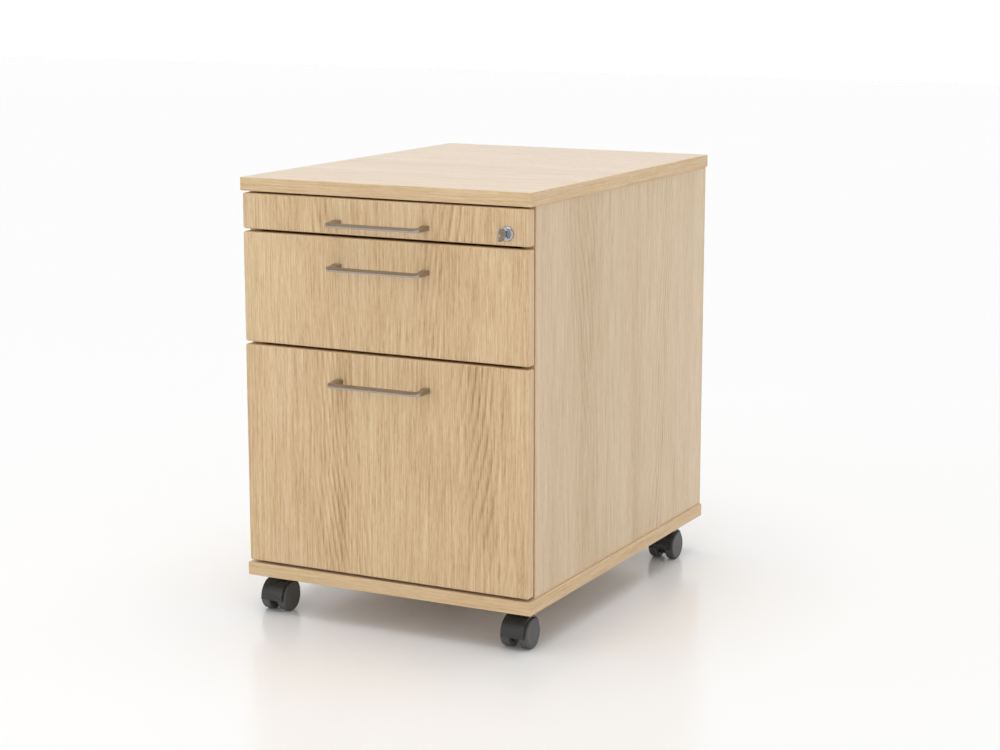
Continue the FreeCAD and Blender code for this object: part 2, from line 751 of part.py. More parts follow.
def make_lock_barrel():
    barrel = new_body("lock_barrel", (LOCK_X, FRONT, LOCK_Z))
    round_bar = sketch_on(barrel, "XZ_Plane", d("barrel_nose"))
    circle(round_bar, ("0", "0"), d("barrel_radius"))
    pad(barrel, round_bar, total(d("barrel_nose"), d("barrel_length")), reverse=True)
    keyway = sketch_on(barrel, "XZ_Plane", d("barrel_nose"))
    across = half(d("keyway_width"))
    up = half(d("keyway_height"))
    rectangle(keyway, (minus(across), minus(up)), (across, up))
    pocket(barrel, keyway, d("keyway_depth"))
    keep(barrel)


def make_key():
    """A flat key: blade in the barrel, neck, and a bow with a hole for a ring."""
    key = new_body("lock_key", (LOCK_X, FRONT, LOCK_Z))
    blade = half(d("key_blade"))
    bow = half(d("key_bow"))
    tip = less(d("key_blade_depth"), d("barrel_nose"))
    neck = minus(d("key_neck"))
    end = minus(d("key_end"))
    outline = sketch_on(key, "YZ_Plane")
    polygon(outline, [(tip, minus(blade)), (tip, blade), (neck, blade), (neck, bow), (end, bow),
                      (end, minus(bow)), (neck, minus(bow)), (neck, minus(blade))])
    pad(key, outline, d("key_thickness"), both_ways=True)
    bow_z = number(bow)
    round_edges(key, d("key_bow_round"),
                lambda edge: runs_along(edge, Vector(1, 0, 0))
                and abs(abs(edge.CenterOfMass.z) - bow_z) < 0.1)
    drill(key, "YZ_Plane", half(d("key_thickness")),
          [(total(end, f"2.2 * {d('key_hole_radius')}"), "0")], d("key_hole_radius"),
          d("key_thickness"))
    keep(key)


def make_lock_cam():
    """The plate behind the barrel and the pin that works the lock bar."""
    cam = new_body("lock_cam", (LOCK_X, FRONT, LOCK_Z))
    face = minus(d("barrel_length"))
    radius = d("lock_cam_radius")
    for centre in (("0", "0"), (PIN_SIDE, minus(PIN_SIDE))):
        disc = sketch_on(cam, "XZ_Plane", face)
        circle(disc, centre, radius)
        pad(cam, disc, d("lock_cam_thickness"), reverse=True)
    web = sketch_on(cam, "XZ_Plane", face)
    step = f"({radius} * sqrt(0.5))"
    polygon(web, [(minus(step), minus(step)), (less(PIN_SIDE, step), minus(total(PIN_SIDE, step))),
                  (total(PIN_SIDE, step), less(step, PIN_SIDE)), (step, step)])
    pad(cam, web, d("lock_cam_thickness"), reverse=True)
    pin = sketch_on(cam, "XZ_Plane", less(face, d("lock_cam_thickness")))
    circle(pin, (PIN_SIDE, minus(PIN_SIDE)), d("lock_pin_radius"))
    pad(cam, pin, d("lock_pin_length"), reverse=True)
    keep(cam)


def make_lock_bar():
    """The strip that the cam lifts. Its top finger is a fork round the cam's pin, and also the
    pencil drawer's stop, and the lower fingers rise in front of the other drawers' catches."""
    bar = new_body("lock_bar", (BAR_X, BAR_Y, d("bar_bottom")))
    reach = d("bar_reach")
    strip_x = less(reach, d("bar_sheet"))
    top = less(d("bar_top"), d("bar_bottom"))
    strip = sketch_on(bar, "XY_Plane")
    rectangle(strip, (strip_x, "0"), (reach, d("bar_width")))
    pad(bar, strip, top)
    pin_z = less(LOCK_Z, PIN_SIDE, d("bar_bottom"))
    play = total(d("lock_pin_radius"), d("bar_slot_play"))
    fingers = sketch_on(bar, "XZ_Plane")
    rectangle(fingers, ("0", less(pin_z, play, d("bar_prong"))), (reach, top))
    for catch in ("box_catch", "file_catch"):
        low = less(d(catch), d("bar_finger_drop"), d("bar_bottom"))
        rectangle(fingers, ("0", low), (reach, total(low, d("bar_finger_height"))))
    pad(bar, fingers, d("bar_finger_sheet"), reverse=True)
    fork = sketch_on(bar, "XZ_Plane")
    rectangle(fork, ("-1", less(pin_z, play)), (strip_x, total(pin_z, play)))
    pocket(bar, fork, d("bar_finger_sheet"))
    guides = sketch_on(bar, "YZ_Plane", strip_x)
    slot = total(d("bar_screw_radius"), d("bar_screw_play"))
    for screw in ("bar_screw_low", "bar_screw_high"):
        z = less(d(screw), d("bar_bottom"))
        rectangle(guides, (less(BAR_MIDDLE, slot), less(z, slot, BAR_LIFT, d("bar_overtravel"))),
                  (total(BAR_MIDDLE, slot), total(z, slot)))
    pocket(bar, guides, d("bar_sheet"), reverse=True)
    keep(bar)
    screw = screw_shape(number(d("bar_screw_radius")),
                        number(total(d("bar_screw_stand"), d("bar_screw_bite"))),
                        number(d("bar_screw_head")), number(d("bar_screw_head_height")))
    head_x = number(less(SIDE_IN, d("bar_screw_stand")))
    y = number(total(BAR_Y, BAR_MIDDLE))
    turn = Rotation(Vector(0, 1, 0), -90)
    spots = [Vector(head_x, y, number(d(z))) for z in ("bar_screw_low", "bar_screw_high")]
    group("lock_bar_screws", screw, [Placement(spot, turn) for spot in spots])


# ---------------------------------------------------------------- castors

def make_castor_hood(name, x, y):
    """The castor's moulded body: a hood over both wheels, a web between them that carries the
    axle, and a socket for the swivel stem. Its own origin is on the floor under the stem."""
    hood = new_body(f"{name}_castor_hood", (x, y, 0))
    centre = (minus(d("castor_trail")), d("wheel_radius"))
    shell = sketch_on(hood, "YZ_Plane")
    circle(shell, centre, d("hood_outer"))
    circle(shell, centre, d("hood_inner"))
    pad(hood, shell, f"2 * {d('hood_half_width')}", both_ways=True)
    web = sketch_on(hood, "YZ_Plane")
    circle(web, centre, d("web_radius"))
    pad(hood, web, d("web_thickness"), both_ways=True)
    below = sketch_on(hood, "YZ_Plane")
    front = less(centre[0], d("hood_outer"), 1)
    back = total(centre[0], d("hood_outer"), 1)
    polygon(below, [(front, "-5"), (back, "-5"), (back, d("hood_back_bottom")),
                    (centre[0], d("hood_front_bottom")), (front, d("hood_front_bottom"))])
    pocket(hood, below, f"2 * {d('hood_half_width')} + 2", both_ways=True)
    hub = sketch_on(hood, "YZ_Plane")
    circle(hub, centre, d("hub_radius"))
    pad(hood, hub, d("web_thickness"), both_ways=True)
    socket = sketch_on(hood, "YZ_Plane")
    rectangle(socket, (minus(d("socket_front")), d("socket_bottom")),
              (d("socket_back"), d("neck_top")))
    pad(hood, socket, d("web_thickness"), both_ways=True)
    neck = sketch_on(hood, "XY_Plane", d("neck_bottom"))
    circle(neck, ("0", "0"), d("neck_radius"))
    pad(hood, neck, less(d("neck_top"), d("neck_bottom")))
    drill(hood, "XY_Plane", d("neck_top"), [("0", "0")], d("stem_bore"),
          less(d("neck_top"), d("stem_bore_bottom")))
    drill(hood, "YZ_Plane", half(d("web_thickness")), [centre], d("axle_radius"),
          d("web_thickness"))
    keep(hood)


def make_wheel(name, x, y, turned):
    """One wheel of a castor. Its own origin is in the middle of the axle."""
    wheel = new_body(name, (x, less(y, d("castor_trail")), d("wheel_radius")))
    if turned:
        wheel.Placement.Rotation = Rotation(Vector(0, 0, 1), 180)
    inner = d("wheel_inner")
    outer = d("wheel_outer")
    rim = less(outer, d("wheel_cap_rise"))
    profile = sketch_on(wheel, "XY_Plane")
    polygon(profile, [(inner, d("wheel_bore")), (d("wheel_bore_end"), d("wheel_bore")),
                      (d("wheel_bore_end"), "0"), (outer, "0"), (outer, d("wheel_cap_radius")),
                      (rim, d("wheel_cap_radius")), (rim, d("wheel_radius")),
                      (inner, d("wheel_radius"))])
    doc.recompute()
    turning = wheel.newObject("PartDesign::Revolution", f"{name}_turning")
    turning.Profile = profile
    turning.ReferenceAxis = (profile, ["H_Axis"])
    turning.Angle = 360
    doc.recompute()
    radius = number(d("wheel_radius"))
    round_edges(wheel, d("wheel_round"),
                lambda edge: isinstance(edge.Curve, Part.Circle)
                and abs(edge.Curve.Radius - radius) < 0.01)
    keep(wheel)


def make_axle(name, x, y):
    axle = doc.addObject("Part::Cylinder", f"{name}_castor_axle")
    axle.setExpression("Radius", d("axle_radius"))
    axle.setExpression("Height", f"2 * {d('axle_half')}")
    axle.Placement.Rotation = Rotation(Vector(0, 1, 0), 90)
    place(axle, (less(x, d("axle_half")), less(y, d("castor_trail")), d("wheel_radius")))
    keep(axle, f"{name}_castor_axle")


def make_castor_mounts():
    """The plates, the stems riveted into them and the screws that hold them to the cabinet."""
    size = number(d("plate_size"))
    thickness = number(d("plate_thickness"))
    base = number(d("castor_height"))
    reach = number(half(d("plate_hole_spacing")))
    corners = [Vector(a * reach, b * reach, 0) for a in (1, -1) for b in (1, -1)]
    plate = Part.makeBox(size, size, thickness, Vector(-size / 2, -size / 2, -thickness))
    upright = [edge for edge in plate.Edges if runs_along(edge, Vector(0, 0, 1))]
    plate = plate.makeFillet(number(d("castor_screw_radius")), upright)
    down = Vector(0, 0, -thickness)
    plate = plate.cut(Part.makeCylinder(number(d("stem_radius")), thickness, down))
    for corner in corners:
        hole = Part.makeCylinder(number(d("castor_screw_radius")), thickness, corner + down)
        plate = plate.cut(hole)
    stem_bottom = number(d("stem_bottom"))
    stem = Part.makeCylinder(number(d("stem_radius")), base - stem_bottom,
                             Vector(0, 0, stem_bottom - base))
    screw = screw_shape(number(d("castor_screw_radius")),
                        thickness + number(d("castor_screw_bite")),
                        number(d("castor_screw_head")), number(d("castor_screw_head_height")))
    axes = [Vector(number(x), number(y), base) for x, y in castor_axes().values()]
    group("castor_plates", plate, [Placement(axis, Rotation()) for axis in axes])
    group("castor_stems", stem, [Placement(axis, Rotation()) for axis in axes])
    upside_down = Rotation(Vector(1, 0, 0), 180)
    group("castor_screws", screw, [Placement(axis + corner + down, upside_down)
                                   for axis in axes for corner in corners])


def make_castors():
    make_castor_mounts()
    for name, (x, y) in castor_axes().items():
        make_castor_hood(name, x, y)
        make_axle(name, x, y)
        outer_is_left = name.endswith("left")
        make_wheel(f"{name}_castor_outer_wheel", x, y, outer_is_left)
        make_wheel(f"{name}_castor_inner_wheel", x, y, not outer_is_left)


# ---------------------------------------------------------------- build, test and write

def check_document():
    doc.recompute()
    for item in doc.Objects:
        if "Invalid" in item.State or "Error" in item.State:
            raise RuntimeError(f"{item.Label}: {item.State}")
    for feature, before in cuts:
        if feature.Shape.Volume > before.Shape.Volume - 0.5:
            raise RuntimeError(f"{feature.Label} cuts nothing")
    for node in nodes:
        if node.Shape.isNull() or not node.Shape.isValid() or not node.Shape.Solids:
            raise RuntimeError(f"{node.Label} is not a valid solid")


def write_nodes():
    os.makedirs("parts", exist_ok=True)
    for node in nodes:
        node.Shape.exportStep(f"parts/{node.Label}.step")
        print(node.Label, len(node.Shape.Solids), round(node.Shape.Volume / 1000, 2), "cm3")
    box = Part.makeCompound([node.Shape for node in nodes]).BoundBox
    print(len(nodes), "nodes", box)
    print("lock bar lift", round(number(BAR_LIFT), 3), "over", round(math.pi / 2, 4), "rad")


make_panels()
make_sides()
make_back()
make_cam_fittings()
make_slides()
make_drawers()
make_lock_housing()
make_lock_barrel()
make_key()
make_lock_cam()
make_lock_bar()
make_castors()
check_document()
write_nodes()
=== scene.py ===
import json
import math

import bmesh
import bpy
from bpy.props import FloatProperty, FloatVectorProperty, IntProperty, PointerProperty
from bpy.types import Operator, Panel, PropertyGroup
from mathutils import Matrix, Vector


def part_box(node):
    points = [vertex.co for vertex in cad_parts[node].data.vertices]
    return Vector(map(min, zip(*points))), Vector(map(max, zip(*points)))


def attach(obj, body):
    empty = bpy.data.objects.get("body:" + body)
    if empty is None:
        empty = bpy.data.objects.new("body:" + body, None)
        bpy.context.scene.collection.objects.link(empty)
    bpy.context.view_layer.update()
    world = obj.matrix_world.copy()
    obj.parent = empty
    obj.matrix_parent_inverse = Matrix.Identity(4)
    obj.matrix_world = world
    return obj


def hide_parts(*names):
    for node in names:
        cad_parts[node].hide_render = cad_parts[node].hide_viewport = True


bl_info = {
    "name": "Rolling pedestal cabinet",
    "version": (1, 0, 0),
    "blender": (4, 5, 0),
    "location": "View3D > Sidebar > Pedestal",
    "description": "Models and finishes an oak drawer pedestal on castors, around its CAD frame",
    "category": "Object",
}

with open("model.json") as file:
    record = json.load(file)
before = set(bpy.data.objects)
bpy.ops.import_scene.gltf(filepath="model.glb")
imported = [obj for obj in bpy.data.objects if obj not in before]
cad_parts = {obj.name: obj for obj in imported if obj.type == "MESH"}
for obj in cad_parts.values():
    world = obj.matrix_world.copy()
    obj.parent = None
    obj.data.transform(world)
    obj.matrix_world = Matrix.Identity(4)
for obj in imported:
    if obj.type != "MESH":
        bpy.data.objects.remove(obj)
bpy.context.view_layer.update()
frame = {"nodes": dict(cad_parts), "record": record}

MM = 0.001
NEAR = 0.1 * MM
AXES = {"X": Vector((1, 0, 0)), "Y": Vector((0, 1, 0)), "Z": Vector((0, 0, 1))}
DRAWERS = ("pencil", "box", "file")
CORNERS = ("front_left", "front_right", "rear_left", "rear_right")


# ---------------------------------------------------------------- settings

class OakSettings(PropertyGroup):
    """The oak-pattern melamine on every board."""

    pore: FloatVectorProperty(
        name="Pore colour", description="Darkest marks in the grain", subtype="COLOR",
        default=(0.30, 0.17, 0.075))
    dark: FloatVectorProperty(
        name="Dark colour", description="Late growth lines", subtype="COLOR",
        default=(0.50, 0.32, 0.150))
    middle: FloatVectorProperty(
        name="Middle colour", description="Most of the surface", subtype="COLOR",
        default=(0.66, 0.46, 0.245))
    light: FloatVectorProperty(
        name="Light colour", description="Pale fibres", subtype="COLOR",
        default=(0.80, 0.62, 0.385))
    fibre: FloatProperty(
        name="Fibre spacing", description="Width of one light and dark fibre pair",
        default=1.9 * MM, unit="LENGTH")
    ring: FloatProperty(
        name="Growth ring", description="Distance between two lines of a flame",
        default=10 * MM, unit="LENGTH")
    lean: FloatProperty(
        name="Flame lean", description="Lean of a flame's sides away from the grain",
        default=math.radians(9.5), subtype="ANGLE")
    roughness: FloatProperty(
        name="Roughness", description="Gloss of the melamine", default=0.42, subtype="FACTOR")


class BoardSettings(PropertyGroup):
    """Edges of the boards."""

    strip: FloatProperty(
        name="Edge strip", description="Thickness of the glued edge strip",
        default=2 * MM, unit="LENGTH")
    seam: FloatProperty(
        name="Seam", description="Width of the glue line beside the strip",
        default=0.25 * MM, unit="LENGTH")
    panel_round: FloatProperty(
        name="Panel rounding", description="Radius on the top and bottom panels' edges",
        default=1.1 * MM, unit="LENGTH")
    front_round: FloatProperty(
        name="Front rounding", description="Radius on the drawer fronts' edges",
        default=3 * MM, unit="LENGTH")
    inner_round: FloatProperty(
        name="Inner rounding", description="Radius on the boards inside",
        default=0.5 * MM, unit="LENGTH")


class HandleSettings(PropertyGroup):
    """The three bow handles."""

    bar: FloatProperty(
        name="Bar depth", description="Depth of the bar, front to back",
        default=8 * MM, unit="LENGTH")
    bar_height: FloatProperty(
        name="Bar height", description="Height of the bar's back edge and of the legs",
        default=5 * MM, unit="LENGTH")
    front_height: FloatProperty(
        name="Front height", description="Height of the bar's outer edge, below its slope",
        default=2.2 * MM, unit="LENGTH")
    foot: FloatProperty(
        name="Foot", description="Length of the full-height foot of each leg",
        default=7 * MM, unit="LENGTH")
    taper: FloatProperty(
        name="Taper", description="Length over which a foot thins down to its leg",
        default=6 * MM, unit="LENGTH")
    splay: FloatProperty(
        name="Splay", description="How much wider a leg gets towards its foot",
        default=2 * MM, unit="LENGTH")
    bend: FloatProperty(
        name="Inner bend", description="Radius inside each bend", default=2.2 * MM, unit="LENGTH")
    soften: FloatProperty(
        name="Softening", description="Radius along the handle's edges",
        default=0.55 * MM, unit="LENGTH")
    nickel: FloatVectorProperty(
        name="Nickel colour", description="Colour of the satin plating", subtype="COLOR",
        default=(0.395, 0.36, 0.335))


class CastorSettings(PropertyGroup):
    """Castor wheels and hoods."""

    hood_colour: FloatVectorProperty(
        name="Hood colour", description="Moulded hood", subtype="COLOR",
        default=(0.029, 0.028, 0.027))
    wheel_colour: FloatVectorProperty(
        name="Wheel colour", description="Moulded wheel", subtype="COLOR",
        default=(0.082, 0.081, 0.080))
    segments: IntProperty(
        name="Wheel segments", description="Flats around one wheel", default=72, min=24)
    rim_round: FloatProperty(
        name="Rim rounding", description="Radius on the tread's edges",
        default=2 * MM, unit="LENGTH")
    bore: FloatProperty(
        name="Wheel bore", description="Radius of the blind hole for the axle",
        default=3.05 * MM, unit="LENGTH")
    hood_round: FloatProperty(
        name="Hood rounding", description="Radius on the hood's edges",
        default=0.4 * MM, unit="LENGTH")
    shell: FloatProperty(
        name="Hood shell", description="Thickness of the hood over the wheels",
        default=2.5 * MM, unit="LENGTH")
    web: FloatProperty(
        name="Web", description="Thickness of the web between the wheels",
        default=11.5 * MM, unit="LENGTH")
    trail: FloatProperty(
        name="Trail", description="From the axle back to the stem",
        default=16 * MM, unit="LENGTH")
    stem: FloatProperty(
        name="Stem bore", description="Radius of the socket for the stem",
        default=3.55 * MM, unit="LENGTH")


class LockSettings(PropertyGroup):
    """The drawer lock and its key."""

    chrome: FloatVectorProperty(
        name="Lock colour", description="Chrome on the flange and barrel", subtype="COLOR",
        default=(0.44, 0.47, 0.52))
    steel: FloatVectorProperty(
        name="Key colour", description="Plated steel of the key", subtype="COLOR",
        default=(0.46, 0.41, 0.37))
    hole: FloatProperty(
        name="Hole", description="Radius of the hole in the drawer front",
        default=8.2 * MM, unit="LENGTH")
    tube: FloatProperty(
        name="Tube", description="Radius of the tube behind the flange",
        default=8 * MM, unit="LENGTH")
    bore: FloatProperty(
        name="Bore", description="Radius of the bore that the barrel turns in",
        default=6.05 * MM, unit="LENGTH")
    barrel: FloatProperty(
        name="Barrel", description="Radius of the barrel", default=6 * MM, unit="LENGTH")
    dome: FloatProperty(
        name="Flange rounding", description="Radius around the flange's face",
        default=2.4 * MM, unit="LENGTH")
    bow: FloatProperty(
        name="Key bow", description="Length of the part of the key that is held",
        default=18 * MM, unit="LENGTH")
    bow_round: FloatProperty(
        name="Key bow rounding", description="Radius on the corners of the bow",
        default=4.5 * MM, unit="LENGTH")


class SteelSettings(PropertyGroup):
    """Slides, plates, screws, the pencil tray and the drawer boards."""

    slide: FloatVectorProperty(
        name="Slide colour", description="Zinc on the drawer slides", subtype="COLOR",
        default=(0.60, 0.61, 0.62))
    plate: FloatVectorProperty(
        name="Plate colour", description="Zinc on plates and screws", subtype="COLOR",
        default=(0.58, 0.59, 0.60))
    tray: FloatVectorProperty(
        name="Tray colour", description="Moulded pencil tray", subtype="COLOR",
        default=(0.045, 0.045, 0.047))
    board_dark: FloatVectorProperty(
        name="Drawer board shade", description="Darker print on the drawer boards",
        subtype="COLOR", default=(0.60, 0.60, 0.58))
    board_light: FloatVectorProperty(
        name="Drawer board colour", description="Ground of the drawer boards", subtype="COLOR",
        default=(0.72, 0.72, 0.70))


class StudioSettings(PropertyGroup):
    """Floor, light and camera."""

    azimuth: FloatProperty(
        name="Azimuth", description="Camera's turn around the cabinet", default=math.radians(27.18),
        subtype="ANGLE")
    pitch: FloatProperty(
        name="Pitch", description="Camera's tilt below level", default=math.radians(10.96),
        subtype="ANGLE")
    place: FloatVectorProperty(
        name="Camera place", description="Where the camera stands", subtype="TRANSLATION",
        unit="LENGTH", default=(1.4134, -2.6942, 0.8910))
    lens: FloatProperty(
        name="Focal length", description="On a sensor 36 mm wide", default=79.1)
    sky: FloatProperty(
        name="Ambient light", description="Strength of the white surroundings", default=1.0)
    flank: FloatProperty(
        name="Flank light", description="Brightness of the surroundings half-way up",
        default=0.55, subtype="FACTOR")
    zenith: FloatProperty(
        name="Zenith light", description="Brightness of the surroundings straight above",
        default=2.3)
    key: FloatProperty(
        name="Overhead light", description="Power of the overhead panel", default=6.0,
        subtype="POWER")
    fill: FloatProperty(
        name="Front light", description="Power of the panel at the front left", default=5.0,
        subtype="POWER")
    floor: FloatVectorProperty(
        name="Floor colour", description="Pale studio floor", subtype="COLOR",
        default=(0.895, 0.895, 0.895))


# ---------------------------------------------------------------- modelling helpers

def clear_selection():
    """Leave edit mode and select nothing."""
    if bpy.context.object and bpy.context.object.mode != "OBJECT":
        leave_edit()
    bpy.ops.object.select_all(action="DESELECT")


def select_only(*objects):
    clear_selection()
    for item in objects:
        item.select_set(True)
    bpy.context.view_layer.objects.active = objects[0]


def edit(obj):
    """Enter edit mode on one object, with nothing selected in it."""
    select_only(obj)
    bpy.ops.object.mode_set(mode="EDIT")
    bpy.ops.mesh.select_all(action="DESELECT")


def leave_edit():
    bpy.ops.object.mode_set(mode="OBJECT")


def pick_faces(obj, test):
    """Select just the faces that the test passes, in edit mode."""
    bpy.ops.mesh.select_mode(type="FACE")
    mesh = bmesh.from_edit_mesh(obj.data)
    for face in mesh.faces:
        face.select_set(bool(test(face)))
    mesh.select_flush_mode()
    bmesh.update_edit_mesh(obj.data)


def pick_edges(obj, test):
    """Select just the edges that the test passes, in edit mode."""
    bpy.ops.mesh.select_mode(type="EDGE")
    mesh = bmesh.from_edit_mesh(obj.data)
    for edge in mesh.edges:
        edge.select_set(bool(test(edge)))
    mesh.select_flush_mode()
    bmesh.update_edit_mesh(obj.data)


def is_corner(edge):
    """True where two faces meet at more than 60 degrees."""
    return len(edge.link_faces) == 2 and edge.calc_face_angle(0) > math.radians(60)


def middle(edge):
    return (edge.verts[0].co + edge.verts[1].co) / 2


def is_near(first, second):
    return abs(first - second) < NEAR


def bevel_picked(width, segments=3):
    bpy.ops.mesh.bevel(offset=width, segments=segments, profile=0.5, affect="EDGES",
                       clamp_overlap=True)


def block(name, low, high):
    """A box between two corners."""
    clear_selection()
    low, high = Vector(low), Vector(high)
    bpy.ops.mesh.primitive_cube_add(size=1, location=(low + high) / 2)
    obj = bpy.context.object
    obj.name = obj.data.name = name
    obj.scale = high - low
    bpy.ops.object.transform_apply(location=True, rotation=True, scale=True)
    return obj


def cylinder(name, centre, axis, radius, length, segments=48):
    """A cylinder about one axis of the frame, with its middle at the centre."""
    clear_selection()
    turns = {"X": (0, math.pi / 2, 0), "Y": (math.pi / 2, 0, 0), "Z": (0, 0, 0)}
    bpy.ops.mesh.primitive_cylinder_add(vertices=segments, radius=radius, depth=length,
                                        location=centre, rotation=turns[axis])
    obj = bpy.context.object
    obj.name = obj.data.name = name
    bpy.ops.object.transform_apply(location=True, rotation=True, scale=True)
    return obj


def apply_modifier(obj, kind, **settings):
    """Add a modifier of this kind with its settings, and apply it."""
    select_only(obj)
    modifier = obj.modifiers.new(kind.title(), kind)
    for key, value in settings.items():
        setattr(modifier, key, value)
    bpy.ops.object.modifier_apply(modifier=modifier.name)


def combine(obj, other, operation):
    """Join or cut with another object, which is used up."""
    apply_modifier(obj, "BOOLEAN", operation=operation, object=other, solver="EXACT")
    bpy.data.objects.remove(other)


def copy_of(obj, name, offset=(0, 0, 0), turn=0):
    """A copy with a mesh of its own, turned about Z through the origin and then moved."""
    clear_selection()
    twin = obj.copy()
    twin.data = obj.data.copy()
    twin.name = twin.data.name = name
    bpy.context.scene.collection.objects.link(twin)
    twin.rotation_euler.z = turn
    twin.location = offset
    select_only(twin)
    bpy.ops.object.transform_apply(location=True, rotation=True, scale=True)
    return twin


def smooth(obj):
    """Smooth shading where faces meet at under 35 degrees, with flat faces kept flat."""
    select_only(obj)
    bpy.ops.object.shade_smooth_by_angle(angle=math.radians(35))
    apply_modifier(obj, "WEIGHTED_NORMAL", keep_sharp=True)


def soften(obj, width, segments, least):
    """Round every edge where faces meet at more than the angle, in degrees."""
    apply_modifier(obj, "BEVEL", width=width, segments=segments, limit_method="ANGLE",
                   angle_limit=math.radians(least))


def tidy_mesh(obj):
    """Merge doubles and turn every face outwards."""
    edit(obj)
    bpy.ops.mesh.select_all(action="SELECT")
    bpy.ops.mesh.remove_doubles(threshold=0.001 * MM)
    bpy.ops.mesh.normals_make_consistent(inside=False)
    leave_edit()


def paint(obj, *materials):
    obj.data.materials.clear()
    for material in materials:
        obj.data.materials.append(material)


def fit(obj, body, cad_node):
    """Hand a finished closed piece to the frame, in the place of its CAD node."""
    clear_selection()
    mesh = bmesh.new()
    mesh.from_mesh(obj.data)
    open_edges = sum(len(edge.link_faces) != 2 for edge in mesh.edges)
    mesh.free()
    if open_edges:
        raise RuntimeError(f"{obj.name} has {open_edges} open edges")
    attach(obj, body)
    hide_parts(cad_node)


def body_of_node(cad_node):
    bodies = frame["record"]["behaviour"]["bodies"]
    return next(body for body, members in bodies.items() if cad_node in members)


# ---------------------------------------------------------------- material helpers

def new_material(name):
    """A new material and its nodes, or the one that has this name already and None."""
    material = bpy.data.materials.get(name)
    if material:
        return material, None
    material = bpy.data.materials.new(name)
    material.use_nodes = True
    return material, material.node_tree


def node(tree, kind, inputs=None, **settings):
    """A new node with its settings, and its inputs set to values or linked to sockets."""
    item = tree.nodes.new(kind)
    for key, value in settings.items():
        setattr(item, key, value)
    for key, value in (inputs or {}).items():
        if isinstance(value, bpy.types.NodeSocket):
            tree.links.new(value, item.inputs[key])
        else:
            item.inputs[key].default_value = value
    return item


def calc(tree, operation, *values, clamp=False):
    item = node(tree, "ShaderNodeMath", dict(enumerate(values)), operation=operation)
    item.use_clamp = clamp
    return item.outputs[0]


def stretched(tree, x_scale, y_scale, z_scale, vector):
    """The vector with each part multiplied."""
    item = node(tree, "ShaderNodeVectorMath", {0: vector}, operation="MULTIPLY")
    item.inputs[1].default_value = (x_scale, y_scale, z_scale)
    return item.outputs[0]


def noise(tree, vector, scale=1.0, detail=2.0, roughness=0.5):
    item = node(tree, "ShaderNodeTexNoise", {
        "Vector": vector, "Scale": scale, "Detail": detail, "Roughness": roughness})
    return item.outputs["Fac"]


def ramp(tree, factor, stops):
    item = node(tree, "ShaderNodeValToRGB", {"Fac": factor})
    elements = item.color_ramp.elements
    while len(elements) < len(stops):
        elements.new(0.5)
    for element, (position, colour) in zip(elements, stops):
        element.position = position
        element.color = (*colour, 1) if hasattr(colour, "__len__") else (colour,) * 3 + (1,)
    return item.outputs["Color"]


def mixed(tree, factor, first, second, mode="MIX"):
    """Two colours mixed. The numbers are the places of a Mix node's colour sockets."""
    colours = [colour if isinstance(colour, bpy.types.NodeSocket) else (*colour, 1)
               for colour in (first, second)]
    item = node(tree, "ShaderNodeMix", data_type="RGBA", blend_type=mode)
    for index, value in ((0, factor), (6, colours[0]), (7, colours[1])):
        if isinstance(value, bpy.types.NodeSocket):
            tree.links.new(value, item.inputs[index])
        else:
            item.inputs[index].default_value = value
    return item.outputs[2]


def surface(tree, colour, roughness, bump=None, bump_height=0.0, **sockets):
    """Fill in the material's shader."""
    shader = tree.nodes["Principled BSDF"]
    tree.links.new(colour, shader.inputs["Base Color"])
    if isinstance(roughness, bpy.types.NodeSocket):
        tree.links.new(roughness, shader.inputs["Roughness"])
    else:
        shader.inputs["Roughness"].default_value = roughness
    for key, value in sockets.items():
        shader.inputs[key.replace("_", " ")].default_value = value
    if bump is not None:
        relief = node(tree, "ShaderNodeBump", {"Height": bump, "Strength": 1.0,
                                               "Distance": bump_height})
        tree.links.new(relief.outputs[0], shader.inputs["Normal"])


def object_point(tree):
    return node(tree, "ShaderNodeTexCoord").outputs["Object"]


def flame_lines(tree, across, along, point, centre, reach):
    """Growth lines that close into a flame pointing down. They show most in two leaning bands, one
    on each side of the flame's centre. Returns their strength."""
    style = bpy.context.scene.pedestal_oak
    blunt_tip = 0.0004
    sway_width = 0.055
    band_width = 0.042
    offset = calc(tree, "SUBTRACT", across, centre)
    distance = calc(tree, "SQRT", calc(tree, "MULTIPLY_ADD", offset, offset, blunt_tip))
    sway = noise(tree, stretched(tree, 9, 9, 2.4, point), detail=1)
    swayed = calc(tree, "MULTIPLY_ADD", sway, sway_width, distance)
    leaning = calc(tree, "MULTIPLY_ADD", along, -math.tan(style.lean), swayed)
    phase = calc(tree, "FRACT", calc(tree, "DIVIDE", leaning, style.ring))
    rise = calc(tree, "POWER", phase, 2.4)
    fall = calc(tree, "MULTIPLY_ADD", phase, -4.5, 4.5, clamp=True)
    line = calc(tree, "MULTIPLY", rise, fall)
    gap = calc(tree, "DIVIDE", calc(tree, "SUBTRACT", distance, reach), band_width)
    band = calc(tree, "EXPONENT", calc(tree, "MULTIPLY", calc(tree, "MULTIPLY", gap, gap), -1.0))
    patch = noise(tree, stretched(tree, 14, 14, 3.2, point), detail=1)
    patchy = calc(tree, "MULTIPLY_ADD", patch, 3.4, -1.15, clamp=True)
    return calc(tree, "MULTIPLY", line, calc(tree, "MULTIPLY", band, patchy))


